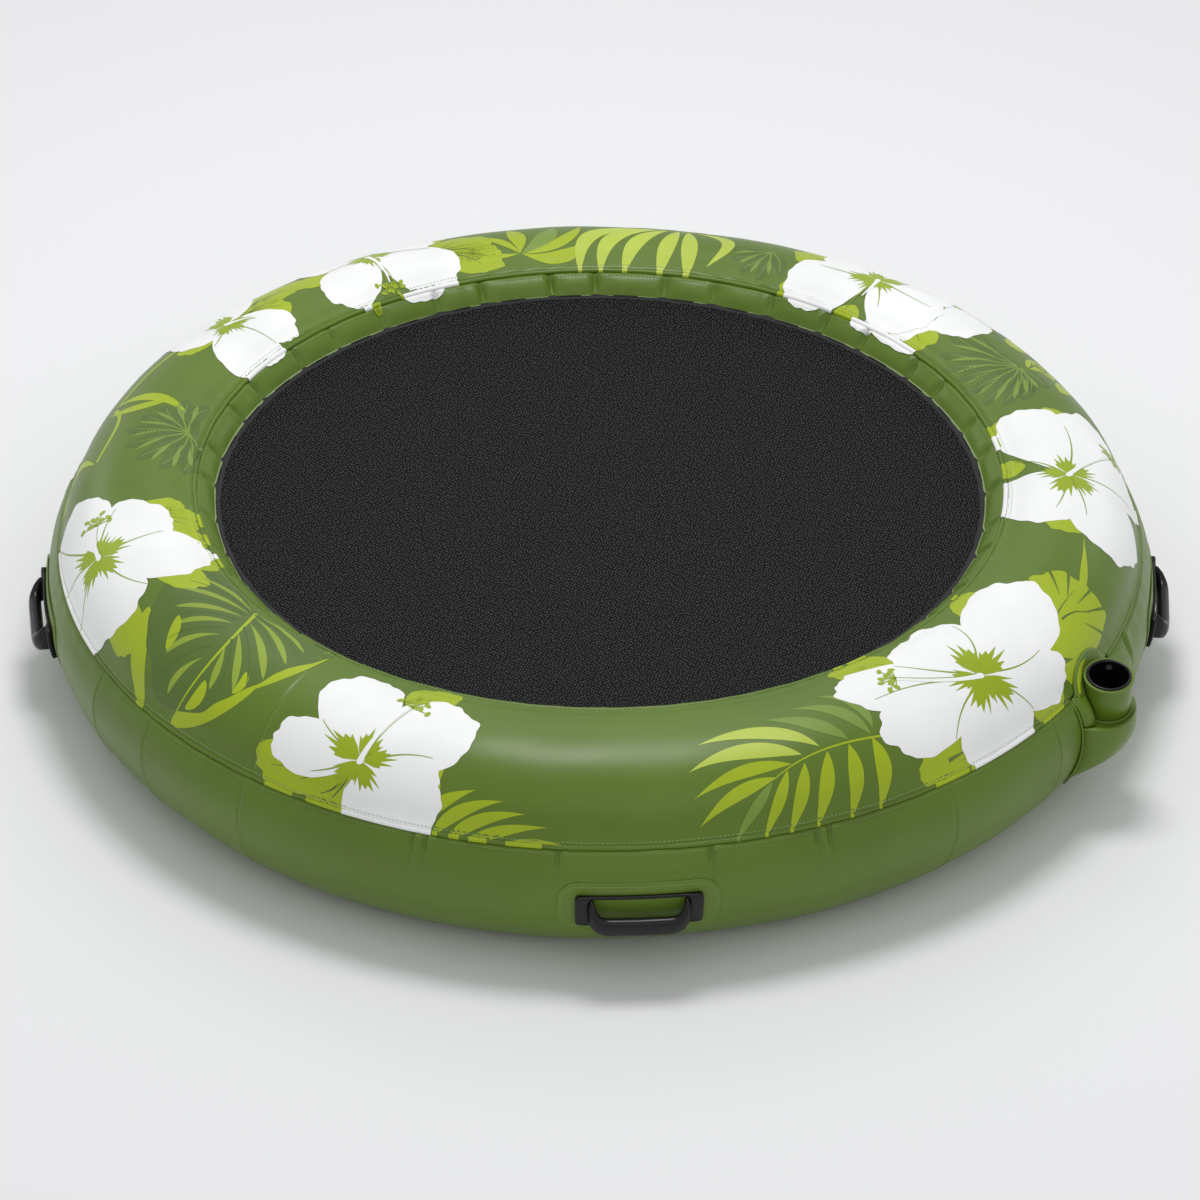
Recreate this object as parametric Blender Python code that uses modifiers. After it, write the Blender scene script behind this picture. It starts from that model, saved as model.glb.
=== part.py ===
"""Water hammock: an inflatable ring in a sewn fabric cover, with a mesh floor across it.

The model's axes are the object's own: +Z up, the ring's axis along Z through the origin,
the ground at z = 0 and the front of the ring towards -Y. Lengths are in metres.
"""
import math

import bmesh
import bpy
from mathutils import Matrix, Vector

# Ring section: seam positions as radius from the ring's axis and height above the ground.
INNER_SEAM_RADIUS = 0.732
INNER_SEAM_HEIGHT = 0.352
OUTER_SEAM_RADIUS = 0.970
OUTER_SEAM_HEIGHT = 0.247
OUTER_FOOT_RADIUS = 0.915
INNER_FOOT_RADIUS = 0.745
FOOT_HEIGHT = 0.018
OUTER_FLAT_RADIUS = 0.870
INNER_FLAT_RADIUS = 0.790

# How far each panel swells past the straight line between its seams, at its two ends.
TOP_INNER_SWELL = 0.077
TOP_OUTER_SWELL = 0.115
SIDE_UPPER_SWELL = 0.062
SIDE_LOWER_SWELL = 0.092
INNER_SWELL = 0.100

# Facets round the ring, and across each panel from seam to seam.
RING_FACETS = 60
TOP_FACETS = 4
SIDE_FACETS = 5
INNER_FACETS = 4

# Fabric and film, and the gap left between pieces that lie on each other.
COVER_THICKNESS = 0.0010
BLADDER_THICKNESS = 0.0008
FIT_GAP = 0.0003
PIPING_RADIUS = 0.0045
PIPING_SINK = 0.0005

# Mesh floor, its hem and the tabs that hold it to the inner wall.
MESH_HEIGHT = 0.319
MESH_SAG = 0.012
MESH_THICKNESS = 0.0015
HEM_WIDTH = 0.012
HEM_THICKNESS = 0.0040
TAB_COUNT = 40
TAB_REACH = 0.0035
TAB_LENGTH = 0.058
TAB_HEIGHT = 0.008
TAB_WEB = 0.0025

# Grab handles: where they sit, the sewn patch, the moulded frame and the grip.
HANDLE_AZIMUTHS = {"front": -86.0, "right": -4.6, "back": 94.0, "left": 188.3}
HANDLE_HEIGHT = 0.146
PATCH_LENGTH = 0.272
PATCH_WIDTH = 0.104
PATCH_CORNER = 0.034
PATCH_THICKNESS = 0.0015
BASE_LENGTH = 0.212
BASE_WIDTH = 0.060
BASE_CORNER = 0.006
BASE_THICKNESS = 0.0055
BASE_RAIL = 0.0045
BLOCK_LENGTH = 0.023
BLOCK_THICKNESS = 0.010
GRIP_STANDOFF = 0.027
GRIP_DROOP = 0.017
GRIP_DEPTH = 0.023
GRIP_WIDTH = 0.033
GRIP_BAR_LENGTH = 0.106
FOOT_DEPTH = 0.011

# Cup holder: how far its rim's centre stands outside and above the outer seam, how the cup
# leans, and its pieces.
CUP_AZIMUTH = -29.25
CUP_OUTSIDE_SEAM = 0.0397
CUP_ABOVE_SEAM = 0.0245
CUP_LEAN_OUT = 4.3
CUP_LEAN_SIDE = 6.6
CUP_FACETS = 24
SLEEVE_RADIUS = 0.0430
SLEEVE_WALL = 0.0022
SLEEVE_DROP = 0.078
BINDING_HEIGHT = 0.005
BINDING_WALL = 0.0012
LINER_DEPTH = 0.104
LINER_WALL = 0.0018
LINER_FLOOR = 0.0025
LINER_DRAIN_RADIUS = 0.004
RIM_BORE_RADIUS = 0.0345
RIM_DEPTH = 0.007
RIM_EDGE = 0.0015
STUD_RADIUS = 0.0055
STUD_HEIGHT = 0.0018
STUD_DROP = 0.016
STUD_FACET = 7
COLLAR_WALL = 0.0050
COLLAR_HEIGHT = 0.0080
POD_HALF_WIDTH = 0.0725
POD_BOTTOM = 0.076
POD_TOP = 0.198
POD_REACH = 0.058
HOOD_INSIDE_SEAM = 0.019
WELT_RADIUS = 0.0022

# Inflation valve on the back of the outer wall, a whole number of facets from the cup.
VALVE_FACETS_ROUND = 26
VALVE_FACETS = 18
VALVE_FLANGE_RADIUS = 0.0245
VALVE_FLANGE_THICKNESS = 0.0015
VALVE_COLLAR_RADIUS = 0.0165
VALVE_COLLAR_HEIGHT = 0.0090
VALVE_BORE_RADIUS = 0.0130
VALVE_INSERT_WALL = 0.0030
VALVE_INSERT_RIM = 0.0022
VALVE_FLAP_THICKNESS = 0.0010
VALVE_SEAL_RADIUS = 0.0010
VALVE_CAP_WALL = 0.0018
VALVE_CAP_HEIGHT = 0.0085
VALVE_CAP_BAR = 0.0040

# Zip on the lower back of the outer wall, for taking the inflatable ring out.
ZIP_START = 108.0
ZIP_END = 138.0
ZIP_FACETS = 20
TAPE_WIDTH = 0.013
TAPE_THICKNESS = 0.0008
CHAIN_WIDTH = 0.0054
TOOTH_HEIGHT = 0.0026
TOOTH_LENGTH = 0.0050
TOOTH_PITCH = 0.0090
TOOTH_HOLD = 0.0012
SLIDER_LENGTH = 0.014
SLIDER_WIDTH = 0.0145
SLIDER_PLATE = 0.0015
SLIDER_CLEARANCE = 0.0006
BRIDGE_WIDTH = 0.0030
BRIDGE_LENGTH = 0.0070
BRIDGE_HEIGHT = 0.0048
PULL_PIN_RADIUS = 0.0010
PIN_CLEARANCE = 0.00035
PULL_LENGTH = 0.030
PULL_WIDTH = 0.0095
PULL_THICKNESS = 0.0016
STOP_LENGTH = 0.005

# Colours as red, green, blue; then roughness and metallic.
FABRIC_GREEN = ((0.085, 0.150, 0.030), 0.50, 0.0)
PATCH_GREEN = ((0.080, 0.160, 0.028), 0.52, 0.0)
PIPING_GREEN = ((0.070, 0.125, 0.022), 0.55, 0.0)
FILM_GREY = ((0.34, 0.35, 0.34), 0.40, 0.0)
MESH_BLACK = ((0.030, 0.030, 0.032), 0.80, 0.0)
WEBBING_BLACK = ((0.012, 0.012, 0.013), 0.75, 0.0)
MOULDED_BLACK = ((0.010, 0.010, 0.011), 0.38, 0.0)
VALVE_GREY = ((0.05, 0.05, 0.055), 0.42, 0.0)
RUBBER_BLACK = ((0.015, 0.015, 0.015), 0.65, 0.0)
ZIP_STEEL = ((0.42, 0.42, 0.44), 0.32, 1.0)

FACET_ANGLE = math.tau / RING_FACETS
FIRST_COLUMN = math.radians(CUP_AZIMUTH) + FACET_ANGLE / 2
STACK = COVER_THICKNESS + FIT_GAP
COLLAR_BASE = COLLAR_HEIGHT - SLEEVE_DROP
POD_LIP_DROP = 0.0025
TOOTH_BASE = FIT_GAP + TAPE_THICKNESS / 4


def new_collection(name):
    """Make a collection in the scene and return it."""
    collection = bpy.data.collections.new(name)
    bpy.context.scene.collection.children.link(collection)
    return collection


for old in list(bpy.data.objects):
    bpy.data.objects.remove(old, do_unlink=True)
PARTS = new_collection("water_hammock")
CUTTERS = new_collection("cutters")


def material(name, finish):
    """A Principled material from a (colour, roughness, metallic) finish."""
    colour, roughness, metallic = finish
    made = bpy.data.materials.get(name) or bpy.data.materials.new(name)
    made.use_nodes = True
    shader = made.node_tree.nodes["Principled BSDF"]
    shader.inputs["Base Color"].default_value = (*colour, 1.0)
    shader.inputs["Roughness"].default_value = roughness
    shader.inputs["Metallic"].default_value = metallic
    return made


def part(name, mesh, finish, parent=None):
    """Put a mesh into the model as a named sub-part with its own material."""
    made = bpy.data.objects.new(name, mesh)
    made.data.materials.clear()
    made.data.materials.append(material(name, finish))
    PARTS.objects.link(made)
    made.parent = parent
    return made


def cutter(name, mesh, parent=None):
    """Put a mesh among the cutters, which only shape other pieces."""
    made = bpy.data.objects.new(name, mesh)
    CUTTERS.objects.link(made)
    made.hide_render = True
    made.display_type = "WIRE"
    made.parent = parent
    return made


def holder(name, matrix, parent=None):
    """An empty whose axes carry the pieces of one assembly."""
    empty = bpy.data.objects.new(name, None)
    PARTS.objects.link(empty)
    empty.empty_display_size = 0.05
    empty.parent = parent
    empty.matrix_local = matrix
    return empty


def boolean(target, tool, operation):
    """Cut, join or keep the common part of target and tool."""
    modifier = target.modifiers.new(operation.lower(), "BOOLEAN")
    modifier.operation = operation
    modifier.solver = "EXACT"
    modifier.object = tool


def thicken(target, thickness, outward=False):
    """Give an open surface a wall, inwards from its face unless outward is set."""
    modifier = target.modifiers.new("wall", "SOLIDIFY")
    modifier.thickness = thickness
    modifier.offset = 1.0 if outward else -1.0
    modifier.use_even_offset = True


def turn(target, steps, angle=math.tau):
    """Turn a profile in the XZ plane about Z."""
    modifier = target.modifiers.new("turned", "SCREW")
    modifier.axis = "Z"
    modifier.angle = angle
    modifier.steps = steps
    modifier.render_steps = steps
    modifier.use_merge_vertices = True
    modifier.merge_threshold = 0.00001


def smooth(mesh, angle=35.0):
    """Shade a mesh smooth, with edges sharper than the angle left crisp."""
    mesh.shade_smooth()
    mesh.set_sharp_from_angle(angle=math.radians(angle))


def profile_mesh(name, points, closed=False):
    """A chain of edges through (radius, height) points in the XZ plane."""
    mesh = bpy.data.meshes.new(name)
    edges = [(i, i + 1) for i in range(len(points) - 1)]
    if closed:
        edges.append((len(points) - 1, 0))
    mesh.from_pydata([(r, 0.0, z) for r, z in points], edges, [])
    return mesh


def ring_part(name, points, finish, thickness, outward=False):
    """A panel of the cover: a strip of the section turned round the ring."""
    made = part(name, profile_mesh(name, points), finish)
    made.rotation_euler.z = FIRST_COLUMN
    turn(made, RING_FACETS)
    thicken(made, thickness, outward)
    return made


def ring_solid(name, points, finish, steps=RING_FACETS, start=FIRST_COLUMN, angle=math.tau):
    """A closed profile, listed clockwise, turned round the ring's axis."""
    made = part(name, profile_mesh(name, points, closed=True), finish)
    made.rotation_euler.z = start
    turn(made, steps, angle)
    return made


def evaluated_mesh(source):
    """A plain mesh of an object with its modifiers applied."""
    bpy.context.view_layer.update()
    graph = bpy.context.evaluated_depsgraph_get()
    return bpy.data.meshes.new_from_object(source.evaluated_get(graph))


def bezier(start, start_pull, end_pull, end, steps):
    """Points on a cubic curve in the section plane, both ends included."""
    points = []
    for step in range(steps + 1):
        t = step / steps
        weights = ((1 - t) ** 3, 3 * t * (1 - t) ** 2, 3 * t * t * (1 - t), t ** 3)
        corners = (start, start_pull, end_pull, end)
        r = sum(w * c[0] for w, c in zip(weights, corners))
        z = sum(w * c[1] for w, c in zip(weights, corners))
        points.append((r, z))
    return points


def inset(points, distance, closed=False):
    """Move a clockwise section line inwards by a distance, mitred at its corners."""
    moved = []
    count = len(points)
    for i, here in enumerate(points):
        before = points[i - 1] if closed or i > 0 else None
        after = points[(i + 1) % count] if closed or i < count - 1 else None
        normals = []
        for a, b in ((before, here), (here, after)):
            if a is None or b is None:
                continue
            length = math.hypot(b[0] - a[0], b[1] - a[1])
            normals.append(Vector(((b[1] - a[1]) / length, (a[0] - b[0]) / length)))
        middle = sum(normals, Vector((0.0, 0.0))).normalized()
        reach = distance / middle.dot(normals[0])
        moved.append((here[0] + middle.x * reach, here[1] + middle.y * reach))
    return moved


def trimmed(points, at_start, at_end):
    """Shorten a section line at its ends."""
    line = [Vector(p) for p in points]
    line[0] = line[0] + (line[1] - line[0]).normalized() * at_start
    line[-1] = line[-1] + (line[-2] - line[-1]).normalized() * at_end
    return [tuple(p) for p in line]


def section_panels():
    """The cover's section as four lines, clockwise from the inner top seam."""
    inner_seam = (INNER_SEAM_RADIUS, INNER_SEAM_HEIGHT)
    outer_seam = (OUTER_SEAM_RADIUS, OUTER_SEAM_HEIGHT)
    outer_foot = (OUTER_FOOT_RADIUS, FOOT_HEIGHT)
    inner_foot = (INNER_FOOT_RADIUS, FOOT_HEIGHT)
    top = bezier(
        inner_seam,
        (INNER_SEAM_RADIUS + TOP_INNER_SWELL * 0.75, INNER_SEAM_HEIGHT + TOP_INNER_SWELL * 0.70),
        (OUTER_SEAM_RADIUS - TOP_OUTER_SWELL * 0.05, OUTER_SEAM_HEIGHT + TOP_OUTER_SWELL * 1.11),
        outer_seam,
        TOP_FACETS,
    )
    side = bezier(
        outer_seam,
        (OUTER_SEAM_RADIUS + SIDE_UPPER_SWELL * 0.78, OUTER_SEAM_HEIGHT - SIDE_UPPER_SWELL * 0.52),
        (OUTER_FOOT_RADIUS + SIDE_LOWER_SWELL * 1.16, FOOT_HEIGHT + SIDE_LOWER_SWELL * 0.73),
        outer_foot,
        SIDE_FACETS,
    )
    bottom = [outer_foot, (OUTER_FLAT_RADIUS, 0.0), (INNER_FLAT_RADIUS, 0.0), inner_foot]
    inner = bezier(
        inner_foot,
        (INNER_FOOT_RADIUS - INNER_SWELL * 1.08, FOOT_HEIGHT + INNER_SWELL * 0.80),
        (INNER_SEAM_RADIUS - INNER_SWELL * 1.20, INNER_SEAM_HEIGHT - INNER_SWELL * 0.80),
        inner_seam,
        INNER_FACETS,
    )
    return top, side, bottom, inner


TOP_LINE, SIDE_LINE, BOTTOM_LINE, INNER_LINE = section_panels()
OUTLINE = TOP_LINE[:-1] + SIDE_LINE[:-1] + BOTTOM_LINE[:-1] + INNER_LINE[:-1]


def faceted_radius(column_radius, azimuth):
    """The ring's radius at an azimuth, where its columns of corners stand at column_radius."""
    half = FACET_ANGLE / 2
    off_middle = (azimuth - FIRST_COLUMN) % FACET_ANGLE - half
    return column_radius * math.cos(half) / math.cos(off_middle)


def column_scale(azimuth):
    """How much further out the columns stand than the facets at an azimuth."""
    return 1.0 / faceted_radius(1.0, azimuth)


def radius_at(line, height):
    """The radius of a falling or rising section line at a height."""
    for (r0, z0), (r1, z1) in zip(line, line[1:]):
        if min(z0, z1) <= height <= max(z0, z1) and z0 != z1:
            return r0 + (r1 - r0) * (height - z0) / (z1 - z0)
    return line[0][0] if abs(height - line[0][1]) < abs(height - line[-1][1]) else line[-1][0]


def height_at(line, radius):
    """The height of the outer half of the top line at a radius."""
    outer_half = [p for p in line if p[0] >= line[len(line) // 2][0]]
    for (r0, z0), (r1, z1) in zip(outer_half, outer_half[1:]):
        if r0 <= radius <= r1:
            return z0 + (z1 - z0) * (radius - r0) / (r1 - r0)
    return outer_half[-1][1]


def polar(radius, azimuth, height):
    """A point from its radius, azimuth and height."""
    return Vector((radius * math.cos(azimuth), radius * math.sin(azimuth), height))


def side_normal(height):
    """The outward normal of the outer wall at a height, as (radial, upward)."""
    for (r0, z0), (r1, z1) in zip(SIDE_LINE, SIDE_LINE[1:]):
        if z1 <= height <= z0:
            break
    length = math.hypot(r1 - r0, z1 - z0)
    return (z0 - z1) / length, (r1 - r0) / length


def wall_frame(azimuth, height, offset=0.0):
    """Axes on the outer wall: X along the ring, Y up the wall, Z straight out of it."""
    out_r, out_z = side_normal(height)
    radial = polar(1.0, azimuth, 0.0)
    along = Vector((-radial.y, radial.x, 0.0))
    out = radial * out_r + Vector((0.0, 0.0, out_z))
    up = out.cross(along)
    place = polar(radius_at(SIDE_LINE, height), azimuth, height) + out * offset
    return Matrix.Translation(place) @ Matrix((along, up, out)).transposed().to_4x4()


def box_mesh(name, size, centre=(0.0, 0.0, 0.0)):
    """A box of the given size."""
    build = bmesh.new()
    bmesh.ops.create_cube(build, size=1.0)
    bmesh.ops.scale(build, vec=size, verts=build.verts)
    bmesh.ops.translate(build, vec=centre, verts=build.verts)
    mesh = bpy.data.meshes.new(name)
    build.to_mesh(mesh)
    build.free()
    return mesh


def rounded_prism(name, length, width, depth, corner, steps=4, lift=0.0):
    """A box with its four edges along Z rounded, as a cutter's or a plate's outline."""
    build = bmesh.new()
    bmesh.ops.create_cube(build, size=1.0)
    bmesh.ops.scale(build, vec=(length, width, depth), verts=build.verts)
    uprights = [e for e in build.edges if abs(e.verts[0].co.z - e.verts[1].co.z) > depth / 2]
    bmesh.ops.bevel(
        build, geom=uprights, offset=corner, segments=steps, profile=0.5, affect="EDGES"
    )
    bmesh.ops.translate(build, vec=(0.0, 0.0, lift), verts=build.verts)
    mesh = bpy.data.meshes.new(name)
    build.to_mesh(mesh)
    build.free()
    return mesh


def cylinder_mesh(name, radius, depth, sides=16, matrix=None):
    """A closed cylinder along Z."""
    build = bmesh.new()
    bmesh.ops.create_cone(
        build,
        cap_ends=True,
        segments=sides,
        radius1=radius,
        radius2=radius,
        depth=depth,
        matrix=matrix or Matrix.Identity(4),
    )
    mesh = bpy.data.meshes.new(name)
    build.to_mesh(mesh)
    build.free()
    return mesh


def grid_mesh(name, rows, wrap=False):
    """A surface through rows of points, all rows the same length."""
    build = bmesh.new()
    made = [[build.verts.new(p) for p in row] for row in rows]
    across = len(rows[0])
    for lower, upper in zip(made, made[1:]):
        for i in range(across if wrap else across - 1):
            j = (i + 1) % across
            build.faces.new((lower[i], lower[j], upper[j], upper[i]))
    mesh = bpy.data.meshes.new(name)
    build.to_mesh(mesh)
    build.free()
    return mesh


def tube_mesh(name, points, radius, closed=False, resolution=1):
    """A cord along points, as a curve with a round bevel turned into a closed mesh."""
    curve = bpy.data.curves.new(name, "CURVE")
    curve.dimensions = "3D"
    curve.bevel_depth = radius
    curve.bevel_resolution = resolution
    curve.use_fill_caps = True
    spline = curve.splines.new("POLY")
    spline.points.add(len(points) - 1)
    for knot, place in zip(spline.points, points):
        knot.co = (*place, 1.0)
    spline.use_cyclic_u = closed
    holder = bpy.data.objects.new(name + "_path", curve)
    CUTTERS.objects.link(holder)
    mesh = evaluated_mesh(holder)
    bpy.data.objects.remove(holder, do_unlink=True)
    build = bmesh.new()
    build.from_mesh(mesh)
    bmesh.ops.remove_doubles(build, verts=build.verts, dist=0.00001)
    bmesh.ops.recalc_face_normals(build, faces=build.faces)
    build.to_mesh(mesh)
    build.free()
    smooth(mesh, 60.0)
    return mesh


def valve_frame():
    """Axes on the facet that carries the valve: Z out of the wall, from the bladder's face."""
    azimuth = math.radians(CUP_AZIMUTH) + VALVE_FACETS_ROUND * FACET_ANGLE
    middle = SIDE_FACETS // 2
    upper, lower = SIDE_LINE[middle], SIDE_LINE[middle + 1]
    height = (upper[1] + lower[1]) / 2
    frame = wall_frame(azimuth, height)
    flat = polar(faceted_radius((upper[0] + lower[0]) / 2, azimuth), azimuth, height)
    frame.translation = flat - frame.col[2].to_3d() * STACK
    return frame


def air_bladder():
    """The inflated ring: thin film, pushed in behind the cup and open only at its valve."""
    outline = inset(OUTLINE, STACK, closed=True)
    blank = part("bladder_blank", profile_mesh("bladder_blank", outline, closed=True), FILM_GREY)
    blank.rotation_euler.z = FIRST_COLUMN
    turn(blank, RING_FACETS)
    mesh = evaluated_mesh(blank)
    mesh.transform(Matrix.Rotation(FIRST_COLUMN, 4, "Z"))
    bpy.data.objects.remove(blank, do_unlink=True)
    limit = OUTER_SEAM_RADIUS - HOOD_INSIDE_SEAM - 3 * COVER_THICKNESS
    for vertex in mesh.vertices:
        place = vertex.co
        off_cup = math.atan2(place.y, place.x) - math.radians(CUP_AZIMUTH)
        radius = math.hypot(place.x, place.y)
        behind = abs(off_cup) < FACET_ANGLE and POD_BOTTOM < place.z < OUTER_SEAM_HEIGHT + 0.05
        if behind and radius > limit:
            vertex.co = polar(limit, math.atan2(place.y, place.x), place.z)
    bladder = part("air_bladder", mesh, FILM_GREY)
    smooth(mesh)
    thicken(bladder, BLADDER_THICKNESS)
    hole = cylinder_mesh("valve_hole", VALVE_BORE_RADIUS, 0.02)
    boolean(bladder, cutter("valve_hole", hole, VALVE_HOLDER), "DIFFERENCE")


def cup_openings():
    """Cutters that open the cover for the cup: straight down the wall, curved on top."""
    facing = holder("cup_facing", Matrix.Rotation(math.radians(CUP_AZIMUTH), 4, "Z"))
    tall = INNER_SEAM_HEIGHT
    size = (0.3, 2 * POD_HALF_WIDTH, tall)
    middle = (OUTER_FOOT_RADIUS + 0.15, 0.0, POD_BOTTOM + tall / 2)
    slab = box_mesh("cup_wall_opening", size, middle)
    sagitta = HOOD_INSIDE_SEAM
    bend = (POD_HALF_WIDTH ** 2 + sagitta ** 2) / (2 * sagitta)
    centre = OUTER_SEAM_RADIUS - sagitta + bend
    place = Matrix.Translation((centre, 0.0, INNER_SEAM_HEIGHT))
    disc = cylinder_mesh("cup_top_opening", bend, 0.3, sides=96, matrix=place)
    return cutter("cup_wall_opening", slab, facing), cutter("cup_top_opening", disc, facing)


def butt_trim(line_before, line_after):
    """How far two panels stop short of a plain seam so that their walls don't meet."""
    first = Vector(line_before[-1]) - Vector(line_before[-2])
    second = Vector(line_after[1]) - Vector(line_after[0])
    return COVER_THICKNESS * math.tan(first.angle(second) / 2) + FIT_GAP / 2


def seam_centre(line_before, line_after):
    """Where a piping cord's centre lies in the section, just outside two panels' seam."""
    lift = PIPING_RADIUS - PIPING_SINK
    return inset([line_before[-2], line_after[0], line_after[1]], -lift)[1]


def piping_trim(centre, seam, towards):
    """How far a panel stops short of its seam so that it just clears the piping."""
    heading = (Vector(towards) - Vector(seam)).normalized()
    offset = Vector(seam) - Vector(centre)
    along = offset.dot(heading)
    clear = PIPING_RADIUS + FIT_GAP
    return -along + math.sqrt(along ** 2 + clear ** 2 - offset.length_squared)


def cover_panels():
    """The four sewn panels of the cover."""
    wall_opening, top_opening = cup_openings()
    inner_cord = seam_centre(INNER_LINE, TOP_LINE)
    outer_cord = seam_centre(TOP_LINE, SIDE_LINE)
    top_inner_trim = piping_trim(inner_cord, TOP_LINE[0], TOP_LINE[1])
    top_outer_trim = piping_trim(outer_cord, TOP_LINE[-1], TOP_LINE[-2])
    side_trim = piping_trim(outer_cord, SIDE_LINE[0], SIDE_LINE[1])
    inner_trim = piping_trim(inner_cord, INNER_LINE[-1], INNER_LINE[-2])
    outer_butt = butt_trim(SIDE_LINE, BOTTOM_LINE)
    inner_butt = butt_trim(BOTTOM_LINE, INNER_LINE)
    top_line = trimmed(TOP_LINE, top_inner_trim, top_outer_trim)
    top = ring_part("cover_top_panel", top_line, FABRIC_GREEN, COVER_THICKNESS)
    boolean(top, top_opening, "DIFFERENCE")
    side_line = trimmed(SIDE_LINE, side_trim, outer_butt)
    side = ring_part("cover_outer_wall", side_line, FABRIC_GREEN, COVER_THICKNESS)
    boolean(side, wall_opening, "DIFFERENCE")
    clear = VALVE_FLANGE_RADIUS + FIT_GAP
    window = cylinder_mesh("valve_window", clear, 0.02, sides=24)
    boolean(side, cutter("valve_window", window, VALVE_HOLDER), "DIFFERENCE")
    slot = zip_strip("zip_slot", -3 * COVER_THICKNESS, 6 * COVER_THICKNESS, 0.0, CHAIN_WIDTH)
    boolean(side, cutter("zip_slot", slot), "DIFFERENCE")
    bottom_line = trimmed(BOTTOM_LINE, outer_butt, inner_butt)
    ring_part("cover_bottom_panel", bottom_line, FABRIC_GREEN, COVER_THICKNESS)
    inner_line = trimmed(INNER_LINE, inner_butt, inner_trim)
    ring_part("cover_inner_wall", inner_line, FABRIC_GREEN, COVER_THICKNESS)


def top_piping():
    """Piping in both top seams; the outer one stops on each side of the cup."""
    inner = seam_centre(INNER_LINE, TOP_LINE)
    columns = [FIRST_COLUMN + FACET_ANGLE * i for i in range(RING_FACETS)]
    loop = [polar(inner[0], column, inner[1]) for column in columns]
    cord = tube_mesh("piping_inner_top", loop, PIPING_RADIUS, True)
    part("piping_inner_top", cord, PIPING_GREEN)
    outer = seam_centre(TOP_LINE, SIDE_LINE)
    azimuth = math.radians(CUP_AZIMUTH)
    half = math.asin(POD_HALF_WIDTH / OUTER_SEAM_RADIUS) + PIPING_RADIUS
    ends = azimuth + half, azimuth + math.tau - half
    path = [polar(faceted_radius(outer[0], ends[0]), ends[0], outer[1])]
    path += [polar(outer[0], column, outer[1]) for column in columns if ends[0] < column < ends[1]]
    path.append(polar(faceted_radius(outer[0], ends[1]), ends[1], outer[1]))
    part("piping_outer_top", tube_mesh("piping_outer_top", path, PIPING_RADIUS), PIPING_GREEN)


def hem_radii():
    """The hem's inner and outer radius, from the inner wall that the tabs reach."""
    wall = radius_at(INNER_LINE, MESH_HEIGHT)
    outer = wall - TAB_REACH
    return outer - HEM_WIDTH, outer


def mesh_floor():
    """The mesh floor, its sewn hem and the tabs that tie it to the inner wall."""
    inner, outer = hem_radii()
    edge = inner - FIT_GAP
    half = MESH_THICKNESS / 2
    rings = 2
    shares = [i / rings for i in range(rings + 1)]
    upper = [(edge * s, MESH_HEIGHT + half - MESH_SAG * (1 - s * s)) for s in shares]
    sheet = part("mesh_floor", profile_mesh("mesh_floor", upper), MESH_BLACK)
    sheet.rotation_euler.z = FIRST_COLUMN
    turn(sheet, RING_FACETS)
    thicken(sheet, MESH_THICKNESS)
    low = MESH_HEIGHT - HEM_THICKNESS / 2
    high = MESH_HEIGHT + HEM_THICKNESS / 2
    square = [(inner, high), (outer, high), (outer, low), (inner, low)]
    ring_solid("mesh_hem", square, WEBBING_BLACK)
    tab_ring()


def tab_ring():
    """The webbing band between hem and inner wall, cut into tabs along its upper edge."""
    low = MESH_HEIGHT - HEM_THICKNESS / 2
    high = low + TAB_HEIGHT
    inside = hem_radii()[1] + FIT_GAP
    outside = radius_at(INNER_LINE, low) - FIT_GAP
    lean = radius_at(INNER_LINE, high) - radius_at(INNER_LINE, low)
    section = [(inside, high), (outside + lean, high), (outside, low), (inside, low)]
    band = ring_solid("mesh_tabs", section, WEBBING_BLACK)
    space = math.tau * inside / TAB_COUNT - TAB_LENGTH
    build = bmesh.new()
    for i in range(TAB_COUNT):
        azimuth = FIRST_COLUMN + math.tau * i / TAB_COUNT
        place = Matrix.Rotation(azimuth, 4, "Z")
        place = place @ Matrix.Translation((inside, 0.0, low + TAB_WEB + TAB_HEIGHT / 2))
        size = Matrix.Diagonal((8 * TAB_REACH, space, TAB_HEIGHT, 1.0))
        bmesh.ops.create_cube(build, size=1.0, matrix=place @ size)
    mesh = bpy.data.meshes.new("tab_spaces")
    build.to_mesh(mesh)
    build.free()
    boolean(band, cutter("tab_spaces", mesh), "DIFFERENCE")


def wall_layer(name, azimuth, length, offset, thickness):
    """A strip that follows the outer wall's own facets, lying offset outside it."""
    reach = length / (2 * OUTER_SEAM_RADIUS) + FACET_ANGLE / 4
    first = math.floor((azimuth - reach - FIRST_COLUMN) / FACET_ANGLE)
    last = math.ceil((azimuth + reach - FIRST_COLUMN) / FACET_ANGLE)
    line = inset(SIDE_LINE, -offset)
    mesh = profile_mesh(name, line)
    holder = bpy.data.objects.new(name, mesh)
    CUTTERS.objects.link(holder)
    turn(holder, last - first, (last - first) * FACET_ANGLE)
    thicken(holder, thickness, outward=True)
    strip = evaluated_mesh(holder)
    strip.transform(Matrix.Rotation(FIRST_COLUMN + first * FACET_ANGLE, 4, "Z"))
    bpy.data.objects.remove(holder, do_unlink=True)
    return strip


def handle_patch(side, azimuth, frame):
    """The rounded fabric patch that spreads the handle's pull over the wall."""
    name = "handle_patch_" + side
    strip = wall_layer(name, azimuth, PATCH_LENGTH, FIT_GAP, PATCH_THICKNESS)
    layer = part(name, strip, PATCH_GREEN)
    outline = rounded_prism(name, PATCH_LENGTH, PATCH_WIDTH, 0.08, PATCH_CORNER)
    boolean(layer, cutter(name + "_outline", outline, frame), "INTERSECT")


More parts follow.
